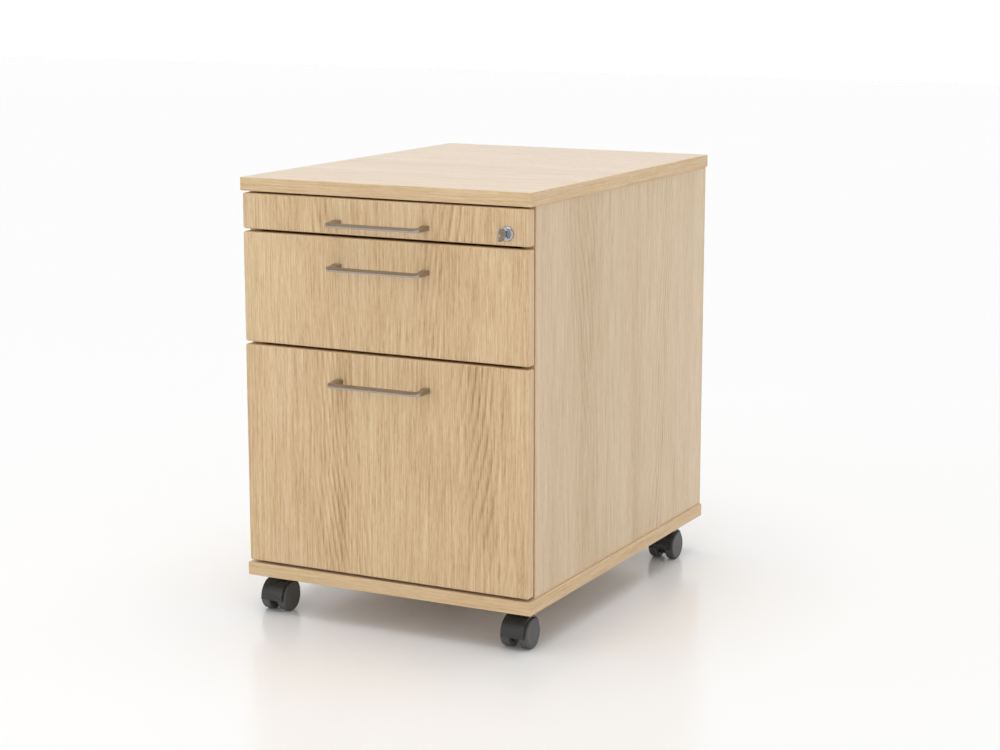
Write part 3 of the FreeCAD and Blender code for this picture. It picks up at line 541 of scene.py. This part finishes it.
def oak(name, axes, flame=None, contrast=1.0, bands=0.26, lift=0.0, shift=0.0,
        painted_sheen_tint=(1, 1, 1)):
    """Oak-pattern melamine. `axes` names the frame's axis across the grain, the one into the board,
    and the one along the grain.

    Fibres a millimetre or two wide and a few centimetres long run along the grain, over broad soft
    bands. `flame` is the centre of a flame across the grain, and its reach to either side. Short
    pores are scattered everywhere and gather on the flame's lines. Tones run from 0, a pore, to 1,
    the palest fibre."""
    material, tree = new_material(name)
    if tree is None:
        return material
    style = bpy.context.scene.pedestal_oak
    base_tone = 0.63
    line_tone = -0.72
    pore_tone = -0.20
    waver_width = 0.020
    parts = node(tree, "ShaderNodeSeparateXYZ", {0: object_point(tree)}).outputs
    across, into, along = (parts[axis] for axis in axes)
    sideways = calc(tree, "ADD", across, shift)
    depth = calc(tree, "ADD", into, shift * 1.7)
    plain = node(tree, "ShaderNodeCombineXYZ", {0: sideways, 1: depth, 2: along}).outputs[0]
    waver = calc(tree, "SUBTRACT", noise(tree, stretched(tree, 7, 7, 1.6, plain), detail=1.5), 0.5)
    bent = calc(tree, "MULTIPLY_ADD", waver, waver_width, sideways)
    point = node(tree, "ShaderNodeCombineXYZ", {0: bent, 1: depth, 2: along}).outputs[0]

    # each layer's scale across the grain, its scale along it as a share of that, its detail and
    # its weight: three of fibres, then two of broad bands
    fine = 1 / style.fibre
    layers = (
        (fine, 0.022, 1, 0.95),
        (fine * 1.7, 0.06, 1, 0.70),
        (fine * 0.45, 0.05, 1, 0.22),
        (40, 0.05, 1, 0.20 + bands / 4),
        (14, 0.05, 1, bands),
    )
    value = base_tone
    for scale, length, detail, weight in layers:
        layer = noise(tree, stretched(tree, scale, scale, scale * length, point), detail=detail,
                      roughness=0.6)
        centred = calc(tree, "SUBTRACT", layer, 0.5)
        value = calc(tree, "MULTIPLY_ADD", centred, weight * contrast, value)
    dashes = noise(tree, stretched(tree, fine * 3.2, fine * 3.2, fine * 0.26, point), detail=0)
    if flame:
        line = flame_lines(tree, across, along, plain, *flame)
        value = calc(tree, "MULTIPLY_ADD", line, line_tone * contrast, value)
        dashes = calc(tree, "MULTIPLY_ADD", line, 0.09, dashes)
    pores = calc(tree, "MULTIPLY_ADD", dashes, 9.0, -5.9, clamp=True)
    value = calc(tree, "MULTIPLY_ADD", pores, pore_tone * contrast, value)
    value = calc(tree, "ADD", value, lift, clamp=True)
    colour = ramp(tree, value, [(0.05, tuple(style.pore)), (0.34, tuple(style.dark)),
                                (0.60, tuple(style.middle)), (0.95, tuple(style.light))])
    warmth = noise(tree, stretched(tree, 9, 9, 0.6, plain), detail=1)
    rosy = calc(tree, "MULTIPLY_ADD", warmth, 1.6, -0.45, clamp=True)
    rosier = mixed(tree, 1.0, colour, (1.01, 0.985, 1.03), "MULTIPLY")
    # the tint multiplies the whole colour; where it is set, on the top and side panels, it is
    # painted sheen: a paler, bluer colour in place of the bright surroundings that those boards
    # reflect at a low angle
    colour = mixed(tree, 1.0, mixed(tree, rosy, colour, rosier), painted_sheen_tint, "MULTIPLY")
    gloss = calc(tree, "MULTIPLY_ADD", pores, 0.16, style.roughness)
    surface(tree, colour, gloss, calc(tree, "MULTIPLY", pores, -1.0), 0.05 * MM)
    return material


def metal(name, colour, roughness, streak=None, mottle=0.0, bump_height=0.004 * MM):
    """Plated metal with fine drawing marks along one axis, or a fine all-over grain."""
    material, tree = new_material(name)
    if tree is None:
        return material
    point = object_point(tree)
    scales = [160 if axis == streak else 9000 for axis in "XYZ"]
    marks = noise(tree, stretched(tree, *scales, point), detail=2)
    cloud = noise(tree, point, scale=90, detail=3)
    tarnish = calc(tree, "MULTIPLY_ADD", cloud, mottle, 1 - mottle / 2)
    shade = node(tree, "ShaderNodeVectorMath", {0: tuple(colour)}, operation="SCALE")
    tree.links.new(tarnish, shade.inputs["Scale"])
    gloss = calc(tree, "MULTIPLY_ADD", marks, 0.10, roughness - 0.05)
    gloss = calc(tree, "MULTIPLY_ADD", cloud, 0.08, gloss)
    surface(tree, shade.outputs[0], gloss, marks, bump_height, Metallic=1.0)
    return material


def moulded(name, colour, roughness, grain=0.25 * MM, bump_height=0.02 * MM):
    """Moulded plastic with a fine spark-eroded grain and faint handling marks."""
    material, tree = new_material(name)
    if tree is None:
        return material
    point = object_point(tree)
    skin = noise(tree, point, scale=1 / grain, detail=2)
    cloud = noise(tree, point, scale=45, detail=4)
    darker = tuple(channel * 0.86 for channel in colour)
    lighter = tuple(channel * 1.14 for channel in colour)
    shade = ramp(tree, cloud, [(0.3, darker), (0.7, lighter)])
    gloss = calc(tree, "MULTIPLY_ADD", cloud, 0.14, roughness - 0.07)
    surface(tree, shade, gloss, skin, bump_height, Specular_IOR_Level=0.5)
    return material


def drawer_melamine():
    """Pale grey melamine with a fine pearl print, as on the drawer boxes."""
    material, tree = new_material("drawer_melamine")
    if tree is None:
        return material
    point = object_point(tree)
    print_marks = noise(tree, stretched(tree, 900, 60, 900, point), detail=2)
    cloud = noise(tree, point, scale=18, detail=3)
    value = calc(tree, "MULTIPLY_ADD", cloud, 0.5, calc(tree, "MULTIPLY", print_marks, 0.5))
    style = bpy.context.scene.pedestal_steel
    shade = ramp(tree, value, [(0.30, tuple(style.board_dark)), (0.70, tuple(style.board_light))])
    surface(tree, shade, 0.45, print_marks, 0.02 * MM)
    return material


# ---------------------------------------------------------------- boards

def make_board(cad_node, thin, finishes, radius):
    """One board from its CAD box: a core face inside a glued edge strip, a fine seam between them,
    and rounded edges. A rounding wider than the strip leaves no strip to see. `thin` is the axis
    through the board, and `finishes` gives the material of the faces that each axis crosses."""
    low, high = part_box(cad_node)
    obj = block(f"{cad_node}_board", low, high)
    style = bpy.context.scene.pedestal_board
    order = [thin] + [axis for axis in "XYZ" if axis != thin]
    paint(obj, *[finishes[axis] for axis in order])
    centre = (low + high) / 2
    size = high - low
    edit(obj)

    def facing(face):
        return max("XYZ", key=lambda axis: abs(face.normal.dot(AXES[axis])))

    mesh = bmesh.from_edit_mesh(obj.data)
    for face in mesh.faces:
        face.material_index = order.index(facing(face))
    bmesh.update_edit_mesh(obj.data)
    if radius < style.strip:
        pick_faces(obj, lambda face: facing(face) == thin)
        bpy.ops.mesh.inset(thickness=style.strip, depth=0, use_individual=True)
        mesh = bmesh.from_edit_mesh(obj.data)
        for face in mesh.faces:
            if facing(face) == thin and not face.select:
                reach = face.calc_center_median() - centre
                share = {axis: abs(reach.dot(AXES[axis])) / size.dot(AXES[axis])
                         for axis in order[1:]}
                face.material_index = order.index(max(share, key=share.get))
        bmesh.update_edit_mesh(obj.data)
        seam_depth = style.seam * 0.4
        bpy.ops.mesh.inset(thickness=style.seam, depth=-seam_depth, use_individual=True)
    pick_edges(obj, is_corner)
    bevel_picked(radius, 4)
    leave_edit()
    return obj


def finish_board(obj, cad_node):
    smooth(obj)
    fit(obj, body_of_node(cad_node), cad_node)


class PEDESTAL_OT_top_and_bottom(Operator):
    """Top and bottom panels, grain across, with the grain of the edge strips along each edge."""

    bl_idname = "pedestal.top_and_bottom"
    bl_label = "Top and bottom panels"

    def execute(self, context):
        radius = context.scene.pedestal_board.panel_round
        # the top's tint paints a sheen: it makes the top paler and bluer, in place of the white
        # surroundings that it reflects at a grazing angle
        face = oak("oak_across", "YZX", contrast=0.55, lift=0.06, painted_sheen_tint=(1.04, 1.18, 1.60))
        edge_x = oak("oak_edge_across", "YZX", contrast=0.6, lift=0.04, shift=0.31)
        edge_y = oak("oak_edge_back", "XZY", contrast=0.6, lift=0.04, shift=0.47)
        finishes = {"X": edge_y, "Y": edge_x, "Z": face}
        for cad_node in ("top_panel", "bottom_panel"):
            obj = make_board(cad_node, "Z", finishes, radius)
            finish_board(obj, cad_node)
        return {"FINISHED"}


class PEDESTAL_OT_sides_and_back(Operator):
    """Side panels and back panel, grain upright."""

    bl_idname = "pedestal.sides_and_back"
    bl_label = "Side and back panels"

    def execute(self, context):
        radius = context.scene.pedestal_board.inner_round
        # the sides' tint paints a sheen: greyer, bluer sides, in place of the white surroundings
        # that they reflect at a slant
        face = oak("oak_upright_side", "YXZ", (0.02, 0.13), contrast=0.66, bands=0.75,
                   lift=0.088, shift=0.83, painted_sheen_tint=(0.98, 1.04, 1.18))
        edge = oak("oak_edge_upright", "XYZ", contrast=0.6, shift=0.23)
        across = oak("oak_edge_across", "YZX")
        for cad_node, thin in (("left_side", "X"), ("right_side", "X"), ("back_panel", "Y")):
            finishes = {"X": edge, "Y": edge, "Z": across}
            finishes[thin] = face
            obj = make_board(cad_node, thin, finishes, radius)
            finish_board(obj, cad_node)
        return {"FINISHED"}


class PEDESTAL_OT_fronts(Operator):
    """Three drawer fronts with upright grain, each cut from its own part of the pattern."""

    bl_idname = "pedestal.fronts"
    bl_label = "Drawer fronts"

    def execute(self, context):
        radius = context.scene.pedestal_board.front_round
        flame_reach = 0.105
        edge = oak("oak_edge_front", "XYZ", contrast=0.7, lift=0.08, shift=0.13)
        edge_x = oak("oak_edge_front_across", "YZX", contrast=0.7, lift=0.08, shift=0.57)
        flames = {"pencil": (-0.005, 0.0), "box": (-0.020, 1.37), "file": (0.038, 2.81)}
        for drawer in DRAWERS:
            flame_centre, shift = flames[drawer]
            face = oak(f"oak_{drawer}_front", "XYZ", (flame_centre, flame_reach), contrast=0.88,
                       bands=0.32, lift=0.055, shift=shift)
            cad_node = f"{drawer}_front"
            finishes = {"X": edge, "Y": face, "Z": edge_x}
            obj = make_board(cad_node, "Y", finishes, radius)
            if drawer == "pencil":
                low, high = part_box("lock_housing")
                hole = cylinder("lock_hole", (low + high) / 2, "Y",
                                context.scene.pedestal_lock.hole, 60 * MM)
                combine(obj, hole, "DIFFERENCE")
            finish_board(obj, cad_node)
        return {"FINISHED"}


class PEDESTAL_OT_drawer_boxes(Operator):
    """The boards of the box drawer and the filing drawer."""

    bl_idname = "pedestal.drawer_boxes"
    bl_label = "Drawer boxes"

    def execute(self, context):
        radius = context.scene.pedestal_board.inner_round
        melamine = drawer_melamine()
        finishes = {axis: melamine for axis in "XYZ"}
        thin = {"left_side": "X", "right_side": "X", "back": "Y", "floor": "Z"}
        for drawer in ("box", "file"):
            for part, axis in thin.items():
                cad_node = f"{drawer}_drawer_{part}"
                obj = make_board(cad_node, axis, finishes, radius)
                finish_board(obj, cad_node)
        return {"FINISHED"}


# ---------------------------------------------------------------- handles

def slope_cutter(low, high):
    """The space above a handle: level over its legs, sloping down to the bar's outer edge, and
    rising again to the feet."""
    style = bpy.context.scene.pedestal_handle
    margin = 5 * MM
    bar_back = low.y + style.bar
    taper_start = high.y - style.foot - style.taper
    level = low.z + style.bar_height
    cutter = block("slope_cutter", (low.x - margin, bar_back, level),
                   (high.x + margin, taper_start, high.z + margin))
    edit(cutter)
    fall = (style.bar_height - style.front_height) / style.bar
    rise = (high.z - level) / style.taper
    ends = ((-1, style.bar + margin, bar_back, fall), (1, style.taper, taper_start, -rise))
    for side, length, start, slope in ends:
        pick_faces(cutter, lambda face: face.normal.y * side > 0.9)
        bpy.ops.mesh.extrude_region_move(TRANSFORM_OT_translate={"value": (0, side * length, 0)})
        end = start + side * length
        pick_edges(cutter, lambda edge: is_near(middle(edge).y, end)
                   and is_near(middle(edge).z, level))
        bpy.ops.transform.translate(value=(0, 0, -slope * length))
    leave_edit()
    return cutter


def make_handle(low, high):
    """A bow handle swept from one foot: out from the front, round a bend, along the bar, round
    the other bend and back. The feet are splayed and the top is cut to its slopes."""
    style = bpy.context.scene.pedestal_handle
    bar = style.bar
    bend = style.bend
    pivot_y = low.y + bar + bend
    obj = block("bow_handle", (low.x, pivot_y, low.z), (low.x + bar, high.y, high.z))
    edit(obj)
    pick_faces(obj, lambda face: face.normal.y < -0.9)
    quarter = {"steps": 10, "angle": -math.pi / 2, "axis": (0, 0, 1)}
    bpy.ops.mesh.spin(center=(low.x + bar + bend, pivot_y, low.z), **quarter)
    span = (high.x - low.x) - 2 * (bar + bend)
    bpy.ops.mesh.extrude_region_move(TRANSFORM_OT_translate={"value": (span, 0, 0)})
    bpy.ops.mesh.spin(center=(high.x - bar - bend, pivot_y, low.z), **quarter)
    bpy.ops.mesh.extrude_region_move(TRANSFORM_OT_translate={"value": (0, high.y - pivot_y, 0)})
    for side, inner in ((1, low.x + bar), (-1, high.x - bar)):
        pick_edges(obj, lambda edge: is_near(middle(edge).y, high.y)
                   and is_near(middle(edge).x, inner))
        bpy.ops.transform.translate(value=(side * style.splay, 0, 0))
    leave_edit()
    tidy_mesh(obj)
    combine(obj, slope_cutter(low, high), "DIFFERENCE")
    tidy_mesh(obj)
    soften(obj, style.soften, 3, 30)
    smooth(obj)
    return obj


class PEDESTAL_OT_handles(Operator):
    """Three satin nickel bow handles."""

    bl_idname = "pedestal.handles"
    bl_label = "Bow handles"

    def execute(self, context):
        style = context.scene.pedestal_handle
        nickel = metal("satin_nickel", style.nickel, 0.26, streak="X",
                       bump_height=0.002 * MM)
        low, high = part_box("pencil_handle")
        master = make_handle(low, high)
        paint(master, nickel)
        for drawer in DRAWERS:
            cad_node = f"{drawer}_handle"
            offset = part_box(cad_node)[0] - low
            obj = copy_of(master, f"{drawer}_bow_handle", offset)
            fit(obj, f"{drawer}_drawer", cad_node)
        bpy.data.objects.remove(master)
        return {"FINISHED"}


# ---------------------------------------------------------------- lock

def make_flange(low, high, front):
    """The lock's domed flange on the drawer front, its tube through it, and the barrel's bore."""
    style = bpy.context.scene.pedestal_lock
    lap = 1 * MM
    centre = (low + high) / 2
    flange = cylinder("lock_flange", (centre.x, (low.y + front) / 2, centre.z), "Y",
                      (high.x - low.x) / 2, front - low.y, 64)
    edit(flange)
    pick_edges(flange, lambda edge: is_corner(edge) and middle(edge).y < front - lap)
    bevel_picked(style.dome, 6)
    leave_edit()
    tube = cylinder("lock_tube", (centre.x, (front - lap + high.y) / 2, centre.z), "Y",
                    style.tube, high.y - front + lap, 64)
    combine(flange, tube, "UNION")
    bore = cylinder("lock_bore", centre, "Y", style.bore, 60 * MM, 64)
    combine(flange, bore, "DIFFERENCE")
    tidy_mesh(flange)
    return flange


def make_barrel(low, high, centre):
    """The barrel with its upright keyway, which goes round the lock's centre."""
    keyway_half = Vector((1.2 * MM, 0, 4 * MM))
    keyway_depth = 20 * MM
    clear = 1 * MM
    length = high.y - low.y
    barrel = cylinder("lock_plug_barrel", (low + high) / 2, "Y",
                      bpy.context.scene.pedestal_lock.barrel, length, 64)
    edit(barrel)
    pick_edges(barrel, lambda edge: is_corner(edge) and middle(edge).y < low.y + clear)
    bevel_picked(0.5 * MM)
    leave_edit()
    mouth = Vector((centre.x, low.y, centre.z))
    keyway = block("keyway", mouth - keyway_half - Vector((0, clear, 0)),
                   mouth + keyway_half + Vector((0, keyway_depth, 0)))
    combine(barrel, keyway, "DIFFERENCE")
    tidy_mesh(barrel)
    return barrel


class PEDESTAL_OT_lock(Operator):
    """The lock's flange with its tube, and the barrel with its keyway."""

    bl_idname = "pedestal.lock"
    bl_label = "Lock"

    def execute(self, context):
        style = context.scene.pedestal_lock
        chrome = metal("polished_lock", style.chrome, 0.10, mottle=0.05)
        low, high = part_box("lock_housing")
        flange = make_flange(low, high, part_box("pencil_front")[0].y)
        barrel = make_barrel(*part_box("lock_barrel"), (low + high) / 2)
        for obj, body, cad_node in ((flange, "pencil_drawer", "lock_housing"),
                                    (barrel, "lock_plug", "lock_barrel")):
            paint(obj, chrome)
            smooth(obj)
            fit(obj, body, cad_node)
        return {"FINISHED"}


class PEDESTAL_OT_key(Operator):
    """The flat key: a thinner blade with cuts, and a bow with a ring hole and a raised rim."""

    bl_idname = "pedestal.key"
    bl_label = "Key"

    def execute(self, context):
        style = context.scene.pedestal_lock
        steel = metal("plain_key", style.steel, 0.24, streak="Y", mottle=0.12)
        blade_half = 3.5 * MM
        blade_step = 0.1 * MM
        first_cut = 10 * MM
        cut_spacing = 3.2 * MM
        cut_line = 4.4 * MM
        cut_radii = (2.2, 1.6, 2.5, 1.9)
        low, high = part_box("lock_key")
        centre = (low + high) / 2
        bow_end = low.y + style.bow
        key = block("flat_key", (low.x, low.y, low.z), (high.x, bow_end, high.z))
        edit(key)
        pick_edges(key, lambda edge: is_corner(edge) and is_near(middle(edge).x, centre.x))
        bevel_picked(style.bow_round, 6)
        pick_faces(key, lambda face: abs(face.normal.x) > 0.9)
        bpy.ops.mesh.inset(thickness=1.1 * MM, depth=0, use_individual=True)
        bpy.ops.mesh.inset(thickness=0.3 * MM, depth=-0.25 * MM, use_individual=True)
        leave_edit()
        ring = cylinder("ring_hole", (centre.x, low.y + 4.6 * MM, centre.z), "X", 2 * MM, 8 * MM, 32)
        combine(key, ring, "DIFFERENCE")
        blade = block("key_blade", (low.x + blade_step, bow_end - 2 * MM, centre.z - blade_half),
                      (high.x - blade_step, high.y, centre.z + blade_half))
        combine(key, blade, "UNION")
        for index, radius in enumerate(cut_radii):
            place = (centre.x, bow_end + first_cut + index * cut_spacing, centre.z + cut_line)
            notch = cylinder("key_cut", place, "X", radius * MM, 8 * MM, 4)
            combine(key, notch, "DIFFERENCE")
        tidy_mesh(key)
        paint(key, steel)
        soften(key, 0.2 * MM, 2, 40)
        smooth(key)
        fit(key, "lock_plug", "lock_key")
        return {"FINISHED"}


# ---------------------------------------------------------------- castors

def make_wheel(radius, width):
    """One wheel about the X axis, facing +X: a tread with rounded edges, a grooved lip around a
    shallow dish, and a raised hub."""
    style = bpy.context.scene.pedestal_castor
    wheel = cylinder("castor_wheel", (0, 0, 0), "X", radius, width, style.segments)
    edit(wheel)
    pick_edges(wheel, is_corner)
    bevel_picked(style.rim_round, 5)
    pick_faces(wheel, lambda face: face.normal.x > 0.99 and len(face.verts) > 8)
    # from the rim inwards: the lip, down into its groove, up again, the dish, and the hub
    for step, rise in ((0.5, 0), (0.35, -0.5), (0.35, 0.35), (10.5, -0.15), (0.3, 0.25)):
        bpy.ops.mesh.inset(thickness=step * MM, depth=rise * MM)
    leave_edit()
    clear = 1 * MM
    bore_length = width / 2 + 4.5 * MM
    bore_centre = (-width / 2 - clear + bore_length / 2, 0, 0)
    bore = cylinder("wheel_bore", bore_centre, "X", style.bore, bore_length, 48)
    combine(wheel, bore, "DIFFERENCE")
    tidy_mesh(wheel)
    smooth(wheel)
    return wheel


class PEDESTAL_OT_wheels(Operator):
    """Eight castor wheels."""

    bl_idname = "pedestal.wheels"
    bl_label = "Castor wheels"

    def execute(self, context):
        style = context.scene.pedestal_castor
        plastic = moulded("wheel_plastic", style.wheel_colour, 0.42)
        low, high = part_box("front_right_castor_outer_wheel")
        master = make_wheel((high.z - low.z) / 2, high.x - low.x)
        paint(master, plastic)
        for corner in CORNERS:
            on_right = corner.endswith("right")
            for part in ("outer", "inner"):
                cad_node = f"{corner}_castor_{part}_wheel"
                low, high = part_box(cad_node)
                turn = 0 if (part == "outer") == on_right else math.pi
                wheel = copy_of(master, f"{cad_node}_tyre", (low + high) / 2, turn)
                fit(wheel, f"{corner}_{part}_wheel", cad_node)
        bpy.data.objects.remove(master)
        return {"FINISHED"}


def make_hood():
    """A castor body with its axle along X through the origin: a curved shell over both wheels with
    a bead along its front edge, a web between the wheels, a hub, and a socket for the stem."""
    style = bpy.context.scene.pedestal_castor
    lip = 2 * MM
    bead_radius = 1.5 * MM
    bead_z = -1.2 * MM
    web_end = -1.7 * MM
    web_gap = 1.1 * MM
    hub_radius = 14 * MM
    neck_radius = 9 * MM
    neck_height = 5.7 * MM
    clear = 1 * MM
    low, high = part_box("front_right_castor_hood")
    axle_low, axle_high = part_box("front_right_castor_axle")
    axle = (axle_low + axle_high) / 2
    outer = axle.y - low.y
    inner = outer - style.shell
    half = (high.x - low.x) / 2
    top = high.z - axle.z
    stem_y = style.trail

    hood = block("castor_hood", (-half, -outer, -lip), (half, -inner, 0))
    edit(hood)
    pick_faces(hood, lambda face: face.normal.z > 0.9)
    bpy.ops.mesh.spin(steps=36, angle=math.radians(170), axis=(1, 0, 0), center=(0, 0, 0))
    leave_edit()
    tidy_mesh(hood)
    bead = cylinder("hood_bead", (0, -(outer + inner) / 2, bead_z), "X", bead_radius, 2 * half, 24)
    combine(hood, bead, "UNION")
    # the web is a little thinner than the hub and the socket wider than the web, so that no two
    # faces lie in one plane where they are joined
    web = cylinder("hood_web", (0, 0, 0), "X", outer - web_gap, style.web - 0.4 * MM, 70)
    below = block("below_web", (-half, -2 * outer, -2 * outer), (half, 2 * outer, web_end))
    combine(web, below, "DIFFERENCE")
    combine(hood, web, "UNION")
    hub = cylinder("hood_hub", (0, 0, 0), "X", hub_radius, style.web, 64)
    combine(hood, hub, "UNION")
    side = style.web / 2 - 0.1 * MM
    socket = block("hood_socket", (-side, stem_y - 12 * MM, 4 * MM),
                   (side, stem_y + 8 * MM, top - 0.2 * MM))
    combine(hood, socket, "UNION")
    neck = cylinder("hood_neck", (0, stem_y, top - neck_height / 2), "Z", neck_radius, neck_height)
    combine(hood, neck, "UNION")
    bore_depth = high.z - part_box("castor_stems")[0].z + 0.5 * MM
    bore = cylinder("stem_bore", (0, stem_y, top - bore_depth / 2 + clear), "Z", style.stem,
                    bore_depth + 2 * clear)
    combine(hood, bore, "DIFFERENCE")
    axle_bore = cylinder("axle_bore", (0, 0, 0), "X", (axle_high.z - axle_low.z) / 2, 2 * style.web)
    combine(hood, axle_bore, "DIFFERENCE")
    tidy_mesh(hood)
    soften(hood, style.hood_round, 2, 50)
    smooth(hood)
    return hood


class PEDESTAL_OT_hoods(Operator):
    """Four castor bodies."""

    bl_idname = "pedestal.hoods"
    bl_label = "Castor bodies"

    def execute(self, context):
        style = context.scene.pedestal_castor
        plastic = moulded("hood_plastic", style.hood_colour, 0.26)
        master = make_hood()
        paint(master, plastic)
        for corner in CORNERS:
            axle_low, axle_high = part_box(f"{corner}_castor_axle")
            cad_node = f"{corner}_castor_hood"
            hood = copy_of(master, f"{corner}_castor_body", (axle_low + axle_high) / 2)
            fit(hood, f"{corner}_castor", cad_node)
        bpy.data.objects.remove(master)
        return {"FINISHED"}


class PEDESTAL_OT_stage(Operator):
    """Pale floor, soft light and the camera."""

    bl_idname = "pedestal.stage"
    bl_label = "Stage"

    def execute(self, context):
        style = context.scene.pedestal_studio
        floor_size = 24
        clear_selection()
        bpy.ops.mesh.primitive_plane_add(size=floor_size)
        floor = context.object
        floor.name = floor.data.name = "studio_floor"
        material, tree = new_material("studio_floor")
        cloud = noise(tree, object_point(tree), scale=2.0, detail=1)
        shade = mixed(tree, cloud, tuple(style.floor), tuple(c * 0.99 for c in style.floor))
        surface(tree, shade, 0.20, Specular_IOR_Level=0.45)
        paint(floor, material)

        world = bpy.data.worlds.new("studio_white")
        world.use_nodes = True
        sky = world.node_tree
        direction = node(sky, "ShaderNodeTexCoord").outputs["Generated"]
        height = node(sky, "ShaderNodeSeparateXYZ", {0: direction}).outputs[2]
        # by the height of the direction, from 0 at the horizon to 1 straight above
        bands = [(0.36, 1.0), (0.52, style.flank), (0.84, style.flank), (0.90, style.zenith)]
        white = ramp(sky, height, bands)
        sky.links.new(white, sky.nodes["Background"].inputs["Color"])
        sky.nodes["Background"].inputs["Strength"].default_value = style.sky
        context.scene.world = world

        lit_point = Vector((0, 0, 0.3))
        lamps = {
            "overhead_panel": ((0.1, -1.5, 3.0), 1.6, style.key),
            "front_panel": ((-2.2, -2.8, 2.2), 2.2, style.fill),
        }
        for name, (place, size, power) in lamps.items():
            light = bpy.data.lights.new(name, "AREA")
            light.shape = "SQUARE"
            light.size = size
            light.energy = power
            lamp = bpy.data.objects.new(name, light)
            lamp.location = place
            aim = lit_point - lamp.location
            lamp.rotation_euler = aim.to_track_quat("-Z", "Y").to_euler()
            context.scene.collection.objects.link(lamp)

        camera_data = bpy.data.cameras.new("studio_camera")
        camera_data.lens = style.lens
        camera_data.sensor_width = 36
        camera = bpy.data.objects.new("studio_camera", camera_data)
        camera.location = style.place
        camera.rotation_euler = (math.pi / 2 - style.pitch, 0, style.azimuth)
        context.scene.collection.objects.link(camera)
        context.scene.camera = camera
        context.scene.view_settings.view_transform = "Standard"
        return {"FINISHED"}


# ---------------------------------------------------------------- CAD pieces that stay

class PEDESTAL_OT_steelwork(Operator):
    """Finishes for the slides, screws, plates, lock works and the other pieces kept from CAD."""

    bl_idname = "pedestal.steelwork"
    bl_label = "Steelwork and tray"

    def execute(self, context):
        style = context.scene.pedestal_steel
        drawn_zinc = metal("zinc_slide", style.slide, 0.34, streak="Y", mottle=0.25)
        zinc = metal("zinc_plate", style.plate, 0.38, mottle=0.35)
        plastic = moulded("tray_plastic", style.tray, 0.50, 0.4 * MM, 0.04 * MM)
        for cad_node, obj in frame["nodes"].items():
            if obj.hide_render:
                continue
            if cad_node == "pencil_tray":
                paint(obj, plastic)
            elif "slide_" in cad_node or cad_node == "file_hanging_rails":
                paint(obj, drawn_zinc)
            else:
                paint(obj, zinc)
        return {"FINISHED"}


class PEDESTAL_PT_panel(Panel):
    """The sidebar list of everything that the add-on makes."""

    bl_idname = "PEDESTAL_PT_panel"
    bl_label = "Pedestal"
    bl_space_type = "VIEW_3D"
    bl_region_type = "UI"
    bl_category = "Pedestal"

    def draw(self, context):
        for operator in OPERATORS:
            self.layout.operator(operator.bl_idname)
        for name in GROUPS:
            settings = getattr(context.scene, name)
            box = self.layout.box()
            for key in settings.bl_rna.properties.keys():
                if key not in ("rna_type", "name"):
                    box.prop(settings, key)


GROUPS = {
    "pedestal_oak": OakSettings,
    "pedestal_board": BoardSettings,
    "pedestal_handle": HandleSettings,
    "pedestal_castor": CastorSettings,
    "pedestal_lock": LockSettings,
    "pedestal_steel": SteelSettings,
    "pedestal_studio": StudioSettings,
}

OPERATORS = [
    PEDESTAL_OT_top_and_bottom,
    PEDESTAL_OT_sides_and_back,
    PEDESTAL_OT_fronts,
    PEDESTAL_OT_drawer_boxes,
    PEDESTAL_OT_handles,
    PEDESTAL_OT_lock,
    PEDESTAL_OT_key,
    PEDESTAL_OT_wheels,
    PEDESTAL_OT_hoods,
    PEDESTAL_OT_steelwork,
    PEDESTAL_OT_stage,
]


def register():
    for group in GROUPS.values():
        bpy.utils.register_class(group)
    for name, group in GROUPS.items():
        setattr(bpy.types.Scene, name, PointerProperty(type=group))
    for operator in OPERATORS:
        bpy.utils.register_class(operator)
    bpy.utils.register_class(PEDESTAL_PT_panel)


def unregister():
    bpy.utils.unregister_class(PEDESTAL_PT_panel)
    for operator in reversed(OPERATORS):
        bpy.utils.unregister_class(operator)
    for name, group in GROUPS.items():
        delattr(bpy.types.Scene, name)
        bpy.utils.unregister_class(group)


def main():
    register()
    for operator in OPERATORS:
        family, name = operator.bl_idname.split(".")
        getattr(getattr(bpy.ops, family), name)()


if __name__ == "__main__":
    main()
